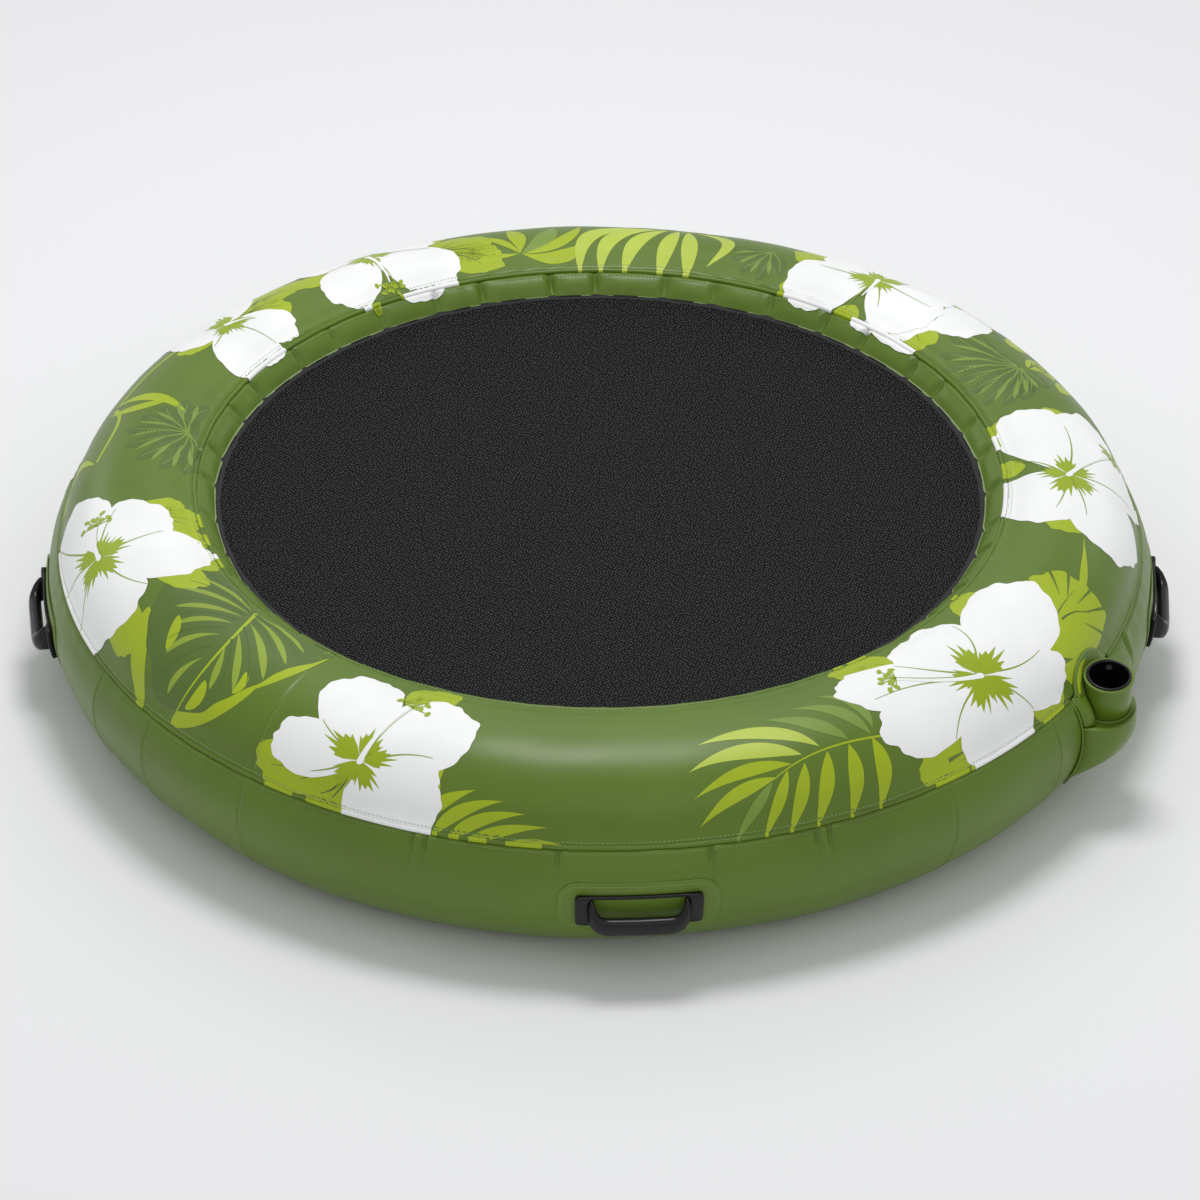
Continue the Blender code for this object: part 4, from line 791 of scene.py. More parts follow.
def hibiscus(centre, star, stamen, seed, pollen, over, petals, gaps):
    """A flower: a star of splashes of a length, a stamen as (degrees, length), with pollen or
    without, petals as (degrees, length, width), and thin lines between them as (degrees, length,
    bend in hundredths). A flower that lies over another starts some layers higher."""
    def laid(ink, shape, degrees, layer):
        """Print a shape turned round the flower's middle."""
        printed(ink, centre, turned_by(shape, degrees), over + layer)

    for k, (degrees, length, width) in enumerate(petals):
        laid("white", petal(length / 1000, width / 1000, seed + 1.7 * k), degrees, 6 + k)
    for degrees, length, bend in gaps:
        length, bend = length / 1000, bend / 100
        far = [[0.15 * length, 0.0], [0.6 * length, bend * length], [length, 0.6 * bend * length]]
        laid("line", stroke(far, 0.0042, 0.0012), degrees, 12.5)
    for k in range(5):
        reach = star / 1000 * (0.90 + 0.12 * math.sin(2.2 * seed + 1.9 * k))
        turn = 15 + 72 * k + 7 * math.sin(seed + 2 * k)
        laid("star", splash(reach, seed + k)[:, ::-1], turn, 14)
    degrees, length = stamen[0], stamen[1] / 1000
    path = np.array([[-0.004, 0.0], [0.55 * length, 0.05 * length], [length, 0.02 * length]])
    laid("white", stroke(path, 0.0095, 0.0026), degrees, 18)
    printed("white", centre, dot((0.0, 0.0), 0.016, 0.011, degrees), over + 17)
    laid("line", stroke(path - np.array([0.0, 0.0056]), 0.0016, 0.0012), degrees, 16)
    for k in range(9 if pollen else 0):
        turn = degrees - 84 + 21 * k
        lean = math.radians(turn - degrees)
        far = 0.024 + 0.009 * math.sin(2.4 * k + seed)
        tip = (length + far * math.cos(lean), far * math.sin(lean))
        laid("star", stroke([(length, 0.0), tip], 0.0026, 0.0018), degrees, 19)
        laid("star", dot(tip, 0.0135, 0.0088, 40 * k), degrees, 20)


def leaf(azimuth, away, degrees, length, width, vein=1, notches=0, layer=2.0):
    """A leaf with a rounded, slightly waved rim, a forked vein and notches cut in from its rim."""
    centre, length, width = (azimuth, away), length / 1000, width / 1000
    rounded = petal(length, width, 2 * degrees, ruffle=0.05)
    printed("lime", centre, turned_by(rounded, degrees), layer)
    veins = (((0.04, 0.0), (0.86, 0.02)), ((0.30, 0.0), (0.62, 0.26)), ((0.44, 0.0), (0.76, -0.24)))
    for (x0, y0), (x1, y1) in veins if vein else ():
        bow = ((x0 + x1) / 2 * length, ((y0 + y1) / 2 + 0.06) * width)
        line = [(x0 * length, y0 * width), bow, (x1 * length, y1 * width)]
        printed("dark", centre, turned_by(stroke(line, 0.0048, 0.0008), degrees), layer + 0.8)
    for k in range(notches):
        lean = math.radians(-62 + 124 * k / max(notches - 1, 1) + 5 * math.sin(3 * k))
        middle = np.array([0.50 * length, 0.0])
        way = np.array([math.cos(lean) * length * 0.56, math.sin(lean) * width * 0.60])
        line = [middle + 0.42 * way, middle + 0.8 * way, middle + 1.15 * way]
        printed("ground", centre, turned_by(stroke(line, 0.0014, 0.0090), degrees), layer + 0.8)


# Flowers, from the left round the front and back, with lime leaves that show between and behind
# the petals, some cut into fingers.
for row in (
    (-164.5, 160, 122, 165, 85), (-165.5, 160, 98, 172, 90), (-164.0, 140, 72, 150, 85, 0),
    (-159.0, 120, 22, 150, 70, 0), (-157.0, 190, -22, 150, 80, 0), (-160.0, 100, 50, 130, 80, 0),
    (-114.0, 205, 203, 200, 105), (-114.5, 205, 243, 145, 80), (-112.0, 110, 80, 98, 80, 0),
    (-113.0, 120, 58, 128, 66, 0), (-112.0, 205, -4, 90, 105, 0), (-38.0, 100, 37, 135, 85, 0),
    (-52.0, 90, 106, 95, 75, 0), (-52.0, 60, 158, 105, 64, 0), (-47.0, 220, 212, 150, 90, 0),
    (-46.0, 220, 236, 125, 75, 1, 3), (-40.0, 220, -52, 115, 80, 0),
    (-34.5, 200, 6, 198, 180, 1, 6, 1.0), (-33.0, 150, 22, 110, 80, 0),
    (-34.0, 250, -34, 150, 60, 0), (-3.0, 130, 174, 160, 115, 0), (5.0, 100, -8, 140, 110, 0),
    (7.0, 30, 14, 95, 85, 0), (1.0, 40, 80, 50, 60, 0), (50.0, 70, 166, 220, 110),
    (47.0, 120, 196, 190, 120, 1, 3), (54.0, 100, -22, 160, 110), (53.0, 60, 20, 150, 80, 0),
    (50.5, 30, 88, 45, 60, 0), (116.5, 100, 162, 190, 95), (116.5, 80, 188, 175, 105),
    (118.0, 140, 210, 140, 90, 0), (123.0, 120, -6, 160, 60, 0), (143.5, 140, 152, 115, 95),
    (143.0, 140, 186, 180, 75), (145.0, 100, 66, 80, 120, 0), (147.0, 120, -14, 110, 50, 0),
):
    leaf(*row)
for row in (
    ((-163.4, 200), 70, (172, 85), 0.4, True, 0.0,
     [(58, 215, 150), (122, 160, 150), (198, 190, 160), (-16, 178, 178), (243, 160, 140),
      (-52, 150, 150)],
     [(93, 125, -6), (152, 120, 5), (212, 210, 5), (262, 130, -4), (24, 150, -8), (-62, 150, 10)]),
    ((-115.0, 217), 70, (72, 130), 1.9, True, 0.0,
     [(115, 192, 145), (42, 198, 150), (183, 155, 100), (-47, 155, 165), (-16, 135, 115)],
     [(150, 100, 6), (12, 115, 12), (208, 85, 5)]),
    ((-44.0, 174), 78, (152, 150), 3.1, True, 0.0,
     [(18, 272, 172), (102, 160, 185), (158, 262, 115), (187, 218, 132), (261, 168, 155),
      (-30, 185, 115)],
     [(66, 130, -14), (-7, 140, -10), (-59, 120, 5), (222, 125, -16), (170, 200, -10),
      (137, 150, 4)]),
    ((-1.2, 116), 72, (-42, 150), 4.4, True, 0.0,
     [(142, 182, 180), (15, 240, 150), (-19, 238, 130), (219, 218, 170), (-66, 208, 150)],
     [(60, 110, -6), (-4, 170, -5), (195, 120, 5), (-90, 150, 2), (168, 115, 3)]),
    ((44.2, 205), 55, (118, 70), 5.2, False, 0.0,
     [(95, 215, 160), (140, 190, 130), (205, 170, 120), (-20, 150, 120), (265, 140, 120)],
     [(120, 140, 3), (172, 120, 5), (30, 140, 5)]),
    ((51.7, 125), 64, (100, 70), 0.9, False, 12.0,
     [(155, 195, 150), (40, 185, 165), (204, 155, 130), (-35, 150, 130), (262, 150, 130)],
     [(92, 110, 2), (178, 140, -4), (8, 120, 5), (128, 100, 3)]),
    ((121.0, 156), 58, (82, 118), 2.6, True, 0.0,
     [(128, 200, 150), (44, 195, 120), (196, 140, 120), (-30, 140, 120), (262, 150, 130)],
     [(86, 150, 3), (160, 120, 4), (10, 110, -5)]),
    ((145.3, 130), 55, (150, 55), 1.2, False, 0.0,
     [(60, 200, 150), (126, 135, 110), (-30, 120, 100), (232, 180, 120), (-70, 160, 110)],
     [(95, 110, 3), (175, 100, 5), (18, 90, 5)]),
):
    hibiscus(*row)
for ink, start, end, depth in (
    ("white", 55.2, 60.6, 0.0175),
    ("white", 44.8, 49.3, 0.0165),
    ("white", 36.2, 45.2, 0.0155),
    ("white", 114.6, 121.4, 0.0200),
    ("white", 144.8, 149.6, 0.0110),
    ("star", 125.4, 126.9, 0.0200),
):
    over_seam(ink, start, end, depth)


def fingers(ink, centre, layer, rows, **form):
    """Print leaf blades, each given as its width and the places that it runs through."""
    for width, *places in rows:
        blade = leaflet(spots(centre, places), width / 1000, **form)
        printed(ink, centre, blade, layer)


def veins(ink, centre, layer, wide, narrow, rows):
    """Print tapering lines, each given as the places that it runs through."""
    for places in rows:
        printed(ink, centre, stroke(spots(centre, places), wide, narrow), layer)


# Palm leaves, as leaflets from a bowed stem: the long one in front, one left of it that rises
# from the piping, and two behind.
front, low_left, back, back_right = (-68.0, 200), (-102.0, 280), (82.0, 150), (101.8, 51)
long_form, back_form = {"widest": 0.40, "blunt": 1.2}, {"widest": 0.50, "blunt": 0.8}
veins("lime", front, 3, 0.0046, 0.0020, [
    [(-57.8, 199), (-62.5, 187), (-65.4, 188), (-68.6, 197), (-71.8, 219)],
])
fingers("pale", front, 3.4, [
    (27, (-66.0, 181), (-71.5, 131), (-75.2, 127), (-79.2, 139)),
    (30, (-68.2, 188), (-73.0, 163), (-76.6, 165), (-80.6, 189)),
], **long_form)
fingers("lime", front, 3.4, [
    (23, (-69.6, 200), (-74.5, 197), (-80.4, 235)), (23, (-71.5, 217), (-75.6, 232), (-80.0, 284)),
    (19, (-70.2, 208), (-71.9, 262), (-73.8, 322)), (22, (-68.2, 202), (-69.5, 262), (-71.2, 322)),
    (24, (-65.4, 192), (-66.6, 252), (-68.3, 322)), (25, (-62.8, 190), (-63.2, 250), (-64.7, 322)),
    (26, (-60.0, 192), (-60.0, 250), (-61.5, 320)),
], **long_form)
fingers("olive", front, 3.4, [
    (17, (-72.0, 222), (-74.2, 262), (-76.6, 318)), (26, (-62.6, 182), (-65.2, 140), (-70.8, 104)),
    (24, (-60.0, 186), (-61.6, 132), (-67.2, 92)), (20, (-59.4, 176), (-59.6, 120), (-63.4, 76)),
], **long_form)
fingers("lime", low_left, 1, [
    (23, (-108.2, 306), (-105.8, 257), (-102.4, 226)),
    (22, (-106.4, 318), (-103.5, 263), (-99.4, 239)),
    (22, (-105.0, 324), (-101.7, 276), (-97.1, 257)),
    (19, (-103.6, 326), (-99.6, 290), (-94.9, 277)),
    (14, (-100.2, 322), (-97.0, 305), (-93.2, 306)),
], widest=0.44, blunt=1.1)
veins("pale", back, 3, 0.005, 0.002, [[(85.0, 150), (80.0, 156), (74.0, 150)]])
fingers("pale", back, 3.4, [
    (36, (83.6, 152), (90.9, 112), (93.3, -12)), (36, (82.6, 152), (87.9, 104), (90.2, -12)),
    (34, (81.6, 152), (84.6, 96), (86.7, -12)), (34, (80.2, 154), (80.9, 80), (81.3, -14)),
    (34, (79.0, 154), (77.9, 80), (77.1, -14)), (26, (78.0, 154), (73.2, 116), (74.6, 26)),
], **back_form)
fingers("olive", back, 3.4, [
    (20, (82.0, 160), (86.0, 196), (91.0, 222)), (20, (80.5, 160), (82.0, 200), (85.5, 236)),
    (20, (79.0, 160), (77.5, 200), (76.5, 240)), (20, (77.5, 160), (73.5, 188), (69.5, 214)),
], **back_form)
fingers("lime", back_right, 2, [
    (20, (101.8, 51), (103.6, 92), (106.0, 128)), (34, (101.8, 51), (101.4, 102), (102.2, 160)),
    (28, (101.4, 49), (95.4, 84), (92.9, 152)), (34, (101.6, 50), (96.6, 34), (91.6, 78)),
    (16, (101.8, 51), (105.0, 50), (109.0, 74)),
], widest=0.55, blunt=0.9)
fingers("olive", back_right, 2, [
    (40, (101.6, 51), (98.0, 92), (96.4, 152)),
], widest=0.55, blunt=0.9)

# Split leaves: a broad dark blade, pale fingers and slits from its midrib, and a lime edge that
# shows behind it.
leafy = (-141.2, 120)
fingers("lime", leafy, 0, [
    (30, (-129.0, -6), (-127.9, 60), (-129.2, 120), (-132.2, 190)),
    (48, (-130.6, 160), (-133.0, 210), (-138.6, 300)),
    (36, (-150.6, 168), (-147.0, 232), (-143.2, 318)),
], widest=0.5, blunt=0.5)
broad = spots(leafy, [
    (-135.4, 12), (-141.4, 24), (-147.0, 8), (-152.2, 14), (-154.4, 60), (-152.6, 120),
    (-149.2, 180), (-146.4, 216), (-143.7, 240), (-141.8, 278), (-138.6, 276), (-135.0, 250),
    (-132.8, 206), (-130.6, 160), (-129.4, 112), (-127.6, 62), (-128.0, 4),
])
printed("dark", leafy, outline(broad, 0.6, 0.012), 1)
veins("lime", leafy, 3, 0.0075, 0.0020, [
    [(-141.6, 26), (-138.6, 100), (-137.6, 190), (-138.4, 286)],
])
fingers("line", leafy, 2.4, [
    (12, (-141.8, 30), (-147.0, 26), (-151.9, 60)), (12, (-141.6, 40), (-146.6, 58), (-150.6, 102)),
    (13, (-141.2, 58), (-145.4, 88), (-148.2, 134)),
    (13, (-140.6, 84), (-143.8, 112), (-145.8, 158)),
    (13, (-140.0, 118), (-142.2, 150), (-143.4, 204)),
    (12, (-138.9, 170), (-140.0, 210), (-140.2, 258)),
    (13, (-138.0, 130), (-136.4, 168), (-135.4, 210)),
    (14, (-138.8, 92), (-135.4, 134), (-132.6, 192)),
    (14, (-139.6, 60), (-135.0, 88), (-130.4, 148)),
    (12, (-140.8, 38), (-135.4, 52), (-129.8, 100)), (10, (-141.4, 28), (-135.0, 24), (-130.0, 52)),
], widest=0.62, blunt=0.7, count=18)
veins("shadow", leafy, 3.4, 0.0044, 0.0012, [
    [(-141.7, 28), (-148.4, 20), (-153.4, 46)], [(-141.6, 34), (-147.0, 40), (-151.6, 80)],
    [(-141.4, 48), (-146.0, 72), (-149.4, 118)], [(-140.9, 70), (-144.6, 100), (-147.0, 146)],
    [(-140.3, 100), (-143.0, 132), (-144.6, 182)], [(-139.4, 144), (-141.0, 182), (-141.8, 236)],
    [(-138.3, 112), (-136.0, 150), (-134.2, 204)], [(-139.2, 76), (-135.2, 112), (-131.6, 172)],
    [(-140.2, 48), (-135.0, 68), (-130.2, 124)], [(-141.2, 32), (-135.0, 36), (-129.2, 76)],
])
fingers("lime", leafy, 2.8, [
    (20, (-146.6, 140), (-144.4, 176), (-143.6, 200)),
    (22, (-136.6, 200), (-136.2, 232), (-137.2, 262)),
    (16, (-133.0, 150), (-132.2, 176), (-132.6, 196)),
], widest=0.5, blunt=0.6, count=14)


def split_leaf(centre, width, hub, *tips):
    """A split leaf seen whole: a finger from the hub to each tip, a darker blade joining them
    round the hub, and a thin pale vein down every finger."""
    hub, *tips = spots(centre, [hub, *tips])
    vein = (0.0036, 0.0012)
    printed("dark", centre, outline(hub + 0.62 * (np.array(tips) - hub), 0.4, 0.02), 0.6)
    for tip in tips:
        side = np.array([-(tip - hub)[1], (tip - hub)[0]])
        bowed = (hub + tip) / 2 + 0.08 * side
        finger = leaflet([hub, bowed, tip], width / 1000, widest=0.62, blunt=0.6, count=18)
        printed("dark", centre, finger, 0.9)
        printed("olive", centre, stroke([hub, bowed, hub + 0.88 * (tip - hub)], *vein), 1.8)
    for a, b in zip(tips[:-1], tips[1:]):
        away = (a + b) / 2 - hub
        slit = leaflet([hub + 0.30 * away, hub + 0.92 * away], 0.009, widest=0.6, count=12)
        printed("olive", centre, slit, 1.4)


split_leaf(
    (25.0, 100), 30, (25.0, 132), (34.6, 120), (35.4, 74), (33.0, 26), (29.8, 8), (26.4, 6),
    (22.6, 2), (18.6, 6), (16.6, 44), (16.8, 84), (18.4, 112), (19.4, 150),
)
leaf(24.6, 150, -60, 70, 45, layer=0.4)
leaf(22.6, 190, -14, 75, 40, layer=0.4)
leaf(19.2, 180, -40, 60, 36, vein=0, layer=0.4)
split_leaf(
    (171.0, 70), 34, (171.6, 30), (164.0, 20), (164.4, 58), (166.6, 96), (169.0, 126),
    (172.1, 148), (176.0, 138), (179.5, 112), (181.6, 66), (181.8, 20), (178.0, -6),
)
split_leaf(
    (66.5, 60), 26, (67.0, 110), (72.6, 96), (71.6, 60), (69.6, 30), (66.6, 16), (63.6, 40),
)
stem = (165.0, 180)
veins("lime", stem, 1, 0.0085, 0.0060, [[(150.5, 166), (158.6, 190), (164.8, 203)]])
veins("lime", stem, 1, 0.0090, 0.0050, [[(165.6, 206), (169.0, 176), (173.4, 178), (177.4, 192)]])
fingers("lime", stem, 1.2, [
    (26, (164.7, 209), (164.4, 130), (167.4, 50)), (24, (166.6, 212), (166.8, 150), (164.7, 88)),
    (26, (179.0, 296), (175.2, 262), (177.7, 196)), (24, (181.6, 300), (178.6, 286), (176.0, 240)),
], widest=0.5, blunt=0.9)
fingers("lime", (-14.0, 160), 1, [(16, (-12.4, 150), (-18.0, 170), (-23.6, 196))], widest=0.7)
leaf(33.5, 200, 168, 60, 45, vein=0, layer=0.6)


def ink_film(name, shapes, colour):
    """Join an ink's shapes into one piece, dropping the parts cut off at the panel's edges and
    turning every face away from the middle of the ring's section."""
    middle_radius, middle_height, smallest = 0.86, 0.2, 2e-9
    sizes = np.cumsum([0] + [shape[..., 0].size for shape in shapes])
    faces = np.concatenate([cell_faces(*s.shape[:2]) + start for s, start in zip(shapes, sizes)])
    points = np.concatenate([shape.reshape(-1, 3) for shape in shapes])
    a, b, c, d = (points[faces[:, k]] for k in range(4))
    facing = np.cross(c - a, d - b)
    low = points[:, 2] < outer_seam[1] + 0.006
    cut = cup_opening(points)[faces].all(1) | (cup_opening(points, -0.005) & low)[faces].any(1)
    kept = (np.linalg.norm(facing, axis=1) > smallest) & ~cut
    faces, facing, middle = faces[kept], facing[kept], a[kept]
    centre = middle[:, :2] / np.hypot(middle[:, 0], middle[:, 1])[:, None] * middle_radius
    out = middle - np.column_stack([centre, np.full(len(centre), middle_height)])
    faces = np.where((facing * out).sum(1)[:, None] < 0, faces[:, ::-1], faces)
    made = mesh_object(name, *without_loose(points, faces))
    return finished(made, None, coated_fabric(name, colour, roughness=0.37))


prints = {ink: ink_film("print_" + ink, inks[ink], ink_colours[ink]) for ink in ink_colours}

# Mesh floor: one round sheet of black woven netting, hemmed with webbing and stretched between
# forty webbing tabs that are sewn to the inner wall.
mesh_look, tree = new_material("mesh_black")
place = shader_node(tree, "TexCoord").outputs["Object"]
wander = noise(tree, place, 60.0).outputs["Color"]
shifted = {0: wander, 1: (0.006, 0.006, 0.0), 2: place}
shifted = shader_node(tree, "VectorMath", shifted, operation="MULTIPLY_ADD")
slanted = shader_node(tree, "Mapping", {
    "Vector": shifted, "Rotation": (0.0, 0.0, 0.45), "Scale": (1.0, 0.62, 1.0),
})
cells = shader_node(
    tree, "TexVoronoi", {"Vector": slanted, "Scale": 205.0, "Randomness": 0.45},
    feature="F1", voronoi_dimensions="2D",
)
# The weave: knots lighter grey, gaps near black. The knots' grey is partly the weave's own pattern
# and partly a painted highlight along the threads' crests, since the netting has almost no
# specular.
knot_grey_and_highlight, gap_black = (0.090, 0.091, 0.095), (0.0045, 0.0045, 0.005)
raised = bump(tree, cells, 0.8, 0.0012)
raised.invert = True
netting = shader_node(tree, "BsdfPrincipled", {
    "Base Color": colour_ramp(tree, cells, (0.05, knot_grey_and_highlight), (0.30, gap_black)),
    "Normal": raised,
    "Roughness": 0.50,
    "Specular IOR Level": 0.06,
})
shader_node(tree, "OutputMaterial", {"Surface": netting})
mesh_radius, mesh_height, mesh_sag = 0.6875, 0.3195, 0.012
share = shares(56)[:, None]
azimuth = full_turn(240, -np.pi)[None, :]
height = mesh_height - mesh_sag * (1 - share**2) + 0.0006 * np.sin(40 * azimuth) * share**12
sheet_points = ring_points(mesh_radius * share, azimuth, height)
netting_sheet = grid("mesh_sheet", sheet_points, close_columns=True)
finished(netting_sheet, "mesh_floor", mesh_look)


def webbing(name, colour):
    """Woven webbing: slanting ribs in the bump, and a dull surface."""
    made, tree = new_material(name)
    place = shader_node(tree, "TexCoord").outputs["Object"]
    ribs = {"Vector": place, "Scale": 420.0, "Distortion": 0.6}
    ribs = shader_node(tree, "TexWave", ribs, bands_direction="DIAGONAL").outputs["Fac"]
    strap = shader_node(tree, "BsdfPrincipled", {
        "Base Color": (*colour, 1.0), "Roughness": 0.72, "Normal": bump(tree, ribs, 0.6, 0.0004),
    })
    shader_node(tree, "OutputMaterial", {"Surface": strap})
    return made


webbing_look = webbing("webbing_black", (0.014, 0.014, 0.015))
# The hem band is 17 mm wide: partly the real webbing hem, partly painted shade, widened to stand
# for the dark shadow that the inner wall throws on the netting beside it.
hem_middle, hem_level, hem_and_shade_half, hem_thick = 0.6920, 0.3190, 0.0085, 0.0021
hem_angle = full_turn(16)[:, None]
azimuth = full_turn(360, -np.pi)[None, :]
hem_radius = hem_middle + hem_and_shade_half * np.sign(np.cos(hem_angle)) * np.abs(np.cos(hem_angle)) ** 0.7
hem_height = hem_level + hem_thick * np.sin(hem_angle) + 0.0007 * np.cos(40 * azimuth)
hem_points = ring_points(hem_radius, azimuth, hem_height)
hem = grid("mesh_hem_and_shade_band", hem_points, close_rows=True, close_columns=True)
finished(hem, "mesh_hem", webbing_look)
tab_width, tab_start, tab_level, tab_turn = 0.048, 0.6925, 0.3216, math.radians(5.25)
tab_middle = fold * math.tau / fold_count + tab_turn
tab_across = np.linspace(-0.5, 0.5, 9) * tab_width / 0.70
tab_down = np.array([0.0505, 0.0501, 0.0497, 0.0493, 0.0490, 0.0487])[:, None]
tab_azimuth = tab_middle[:, None, None] + tab_across[None, None, :]
tab_points = on_inner_wall(tab_azimuth, tab_down, 0.0019)
tab_points[:, 0] = ring_points(tab_start, tab_azimuth[:, 0], tab_level)
tabs = repeated("mesh_tab_straps", tab_points, cell_faces(*tab_points.shape[1:3]))
finished(tabs, "mesh_tabs", webbing_look, wall=0.0014)
# A pale strip at the foot of the inner wall, wider at the left and right than in front and behind:
# painted light, standing for the light that shows through the gaps between the mesh's tabs.
light_gap_azimuth = ring_columns(960)[None, :]
light_gap_foot, light_gap_width = 0.0500, 0.0010 + 0.0035 * np.cos(light_gap_azimuth) ** 2
light_gap_down = light_gap_foot - light_gap_width * shares(4)[:, None]
tape = grid("wall_painted_light_gaps", on_inner_wall(light_gap_azimuth, light_gap_down, 0.0009), close_columns=True)
light_gap_look = webbing("painted_light_gaps", (0.32, 0.42, 0.19))
finished(tape, None, light_gap_look, wall=cover_wall)


# Handles: a rounded patch of the cover's fabric is sewn to the wall, a moulded base is fixed on
# it, and a grip arches from one end block of the base to the other. All four are alike.
def moulded(name, colour, roughness, depth=0.00010, **more):
    """Moulded plastic, rubber or metal: a fine speckled skin, glossier on one side of a slow
    noise."""
    made, tree = new_material(name)
    place = shader_node(tree, "TexCoord").outputs["Object"]
    slow = noise(tree, place, 22.0)
    polish = {"Value": slow, "To Min": roughness - 0.07, "To Max": roughness + 0.07}
    body = shader_node(tree, "BsdfPrincipled", {
        "Base Color": (*colour, 1.0),
        "Specular IOR Level": 0.32,
        "Normal": bump(tree, noise(tree, place, 1400.0), 0.4, depth),
        "Roughness": shader_node(tree, "MapRange", polish),
        **more,
    })
    shader_node(tree, "OutputMaterial", {"Surface": body})
    return made


black_look = moulded("moulded_black", (0.006, 0.006, 0.007), roughness=0.30)
patch_look = coated_fabric("patch_green", (0.110, 0.184, 0.014))
handle_height = 0.146
side_at_handle = float(np.interp(-handle_height, -side_line[:, 1], side_line[:, 2]))
handle_radius = float(np.interp(side_at_handle, side_line[:, 2], side_line[:, 0]))


def on_wall(azimuth, local):
    """Local points (along the ring, up the wall, out of it) bent onto the outer wall round an
    azimuth at the handles' height."""
    turn, length = local[..., 0] / handle_radius, side_at_handle - local[..., 1]
    return around(side_line, azimuth + turn, length, local[..., 2])


def off_wall(azimuth, local):
    """Local points of a stiff piece, set on the wall's tangent plane at the handles' height."""
    base = around(side_line, np.array(azimuth), side_at_handle)
    out = around(side_line, np.array(azimuth), side_at_handle, 1.0) - base
    along = np.array([-np.sin(azimuth), np.cos(azimuth), 0.0])
    up = np.cross(out, along)
    return base + local[..., :1] * along + local[..., 1:2] * up + local[..., 2:] * out


def rounded_outline(length, width, corner, count):
    """A rounded rectangle as (count, 2) points, anticlockwise: straight sides shrunk by the
    corner radius, plus a circle of that radius, spread evenly along its rim."""
    angle = full_turn(400)
    x = np.sign(np.cos(angle)) * (length / 2 - corner) + corner * np.cos(angle)
    y = np.sign(np.sin(angle)) * (width / 2 - corner) + corner * np.sin(angle)
    rim = np.column_stack([x, y])
    rim = np.vstack([rim, rim[:1]])
    far = length_along(rim)
    return sampled(np.linspace(0.0, far[-1], count, endpoint=False), far, rim)


def at_height(flat, high):
    """Flat points with a height."""
    return np.column_stack([flat, np.broadcast_to(high, len(flat))])


# Patch: a padded pad with a rounded rim, and stitches 7 mm in from it.
patch_length, patch_width, patch_corner, patch_inset = 0.272, 0.104, 0.034, 0.007
rim = rounded_outline(patch_length, patch_width, patch_corner, 160)
profile = [(s, 0.0002) for s in np.linspace(0.0, 0.88, 8)]
profile += [(1.0, 0.0002), (1.0, 0.0012), (0.996, 0.0019), (0.985, 0.0021), (0.96, 0.0021)]
profile += [(0.935, 0.0016)] + [(s, 0.0019) for s in np.linspace(0.90, 0.0, 14)]
patch_local = np.stack([at_height(rim * s, h) for s, h in profile])
sewn_length, sewn_width = patch_length - 2 * patch_inset, patch_width - 2 * patch_inset
seam = rounded_outline(sewn_length, sewn_width, patch_corner - patch_inset, 104)
ahead = seam + 0.1 * (np.roll(seam, -1, axis=0) - seam)
seam_lift, seam_top, seam_stitch = 0.0023, 0.0033, 0.0042

# Base: a frame round a window, thicker at its two end blocks.
base_length, base_width, base_lift = 0.212, 0.060, 0.0022
block_length, block_thick, rail_thick, rail_wide = 0.023, 0.0100, 0.0055, 0.0050
outer = rounded_outline(base_length, base_width, 0.007, 144)
window = rounded_outline(base_length - 2 * block_length, base_width - 2 * rail_wide, 0.006, 144)
to_block = base_length / 2 - block_length
tall, tall_in = (
    rail_thick + (block_thick - rail_thick) * eased(start - np.abs(flat[:, 0]), 0.0012)
    for flat, start in ((outer, to_block), (window, to_block - 0.004))
)
base_local = np.stack([
    at_height(outer * (1 - s) + window * s, base_lift + (tall * (1 - s) + tall_in * s) * rise)
    for s, rise in (
        (0.0, 0.0), (0.0, 0.72), (0.02, 0.93), (0.07, 1.0), (0.5, 1.0), (0.93, 1.0), (0.98, 0.93),
        (1.0, 0.72), (1.0, 0.0),
    )
])

# Grip: foot, knee and bar as one loft whose section turns from a flat foot to a round bar. Half
# of it is drawn through six knots and softened twice, and the other half mirrors it. The rows
# are its reach from the middle, rise off the wall, droop, half depth and half width.
grip_knots = np.array([0.0, 0.12, 0.30, 0.48, 0.70, 1.0])
half = [np.interp(shares(40), grip_knots, sizes) for sizes in (
    (0.0795, 0.0795, 0.0765, 0.0690, 0.0560, 0.0),
    (0.0010, 0.0100, 0.0185, 0.0245, 0.0268, 0.0270),
    (0.0, 0.0, 0.0045, 0.0115, 0.0160, 0.0170),
    (0.0055, 0.0058, 0.0078, 0.0098, 0.0112, 0.0115),
    (0.0250, 0.0245, 0.0210, 0.0180, 0.0166, 0.0165),
)]
for _ in range(2):
    soften = np.array([1, 4, 6, 4, 1]) / 16
    half = [np.convolve(np.pad(v, 2, mode="edge"), soften, "valid") for v in half]
reach, rise, fall, deep, wide = (np.concatenate([v, v[-2::-1]]) for v in half)
reach[:40] *= -1.0
path = np.column_stack([reach, -fall, rise])
heading = unit(np.gradient(path, axis=0) * np.array([1.0, 0.0, 1.0]))
across = np.column_stack([heading[:, 2], 0 * reach, -heading[:, 0]])
angle = full_turn(28)[:, None, None]
thick, tall = (np.sign(way(angle)) * np.abs(way(angle)) ** 0.85 for way in (np.cos, np.sin))
grip_local = (
    path[None]
    + thick * deep[None, :, None] * across[None]
    + tall * wide[None, :, None] * np.array([0.0, 1.0, 0.0])
)
grip_local = capped(path, grip_local)

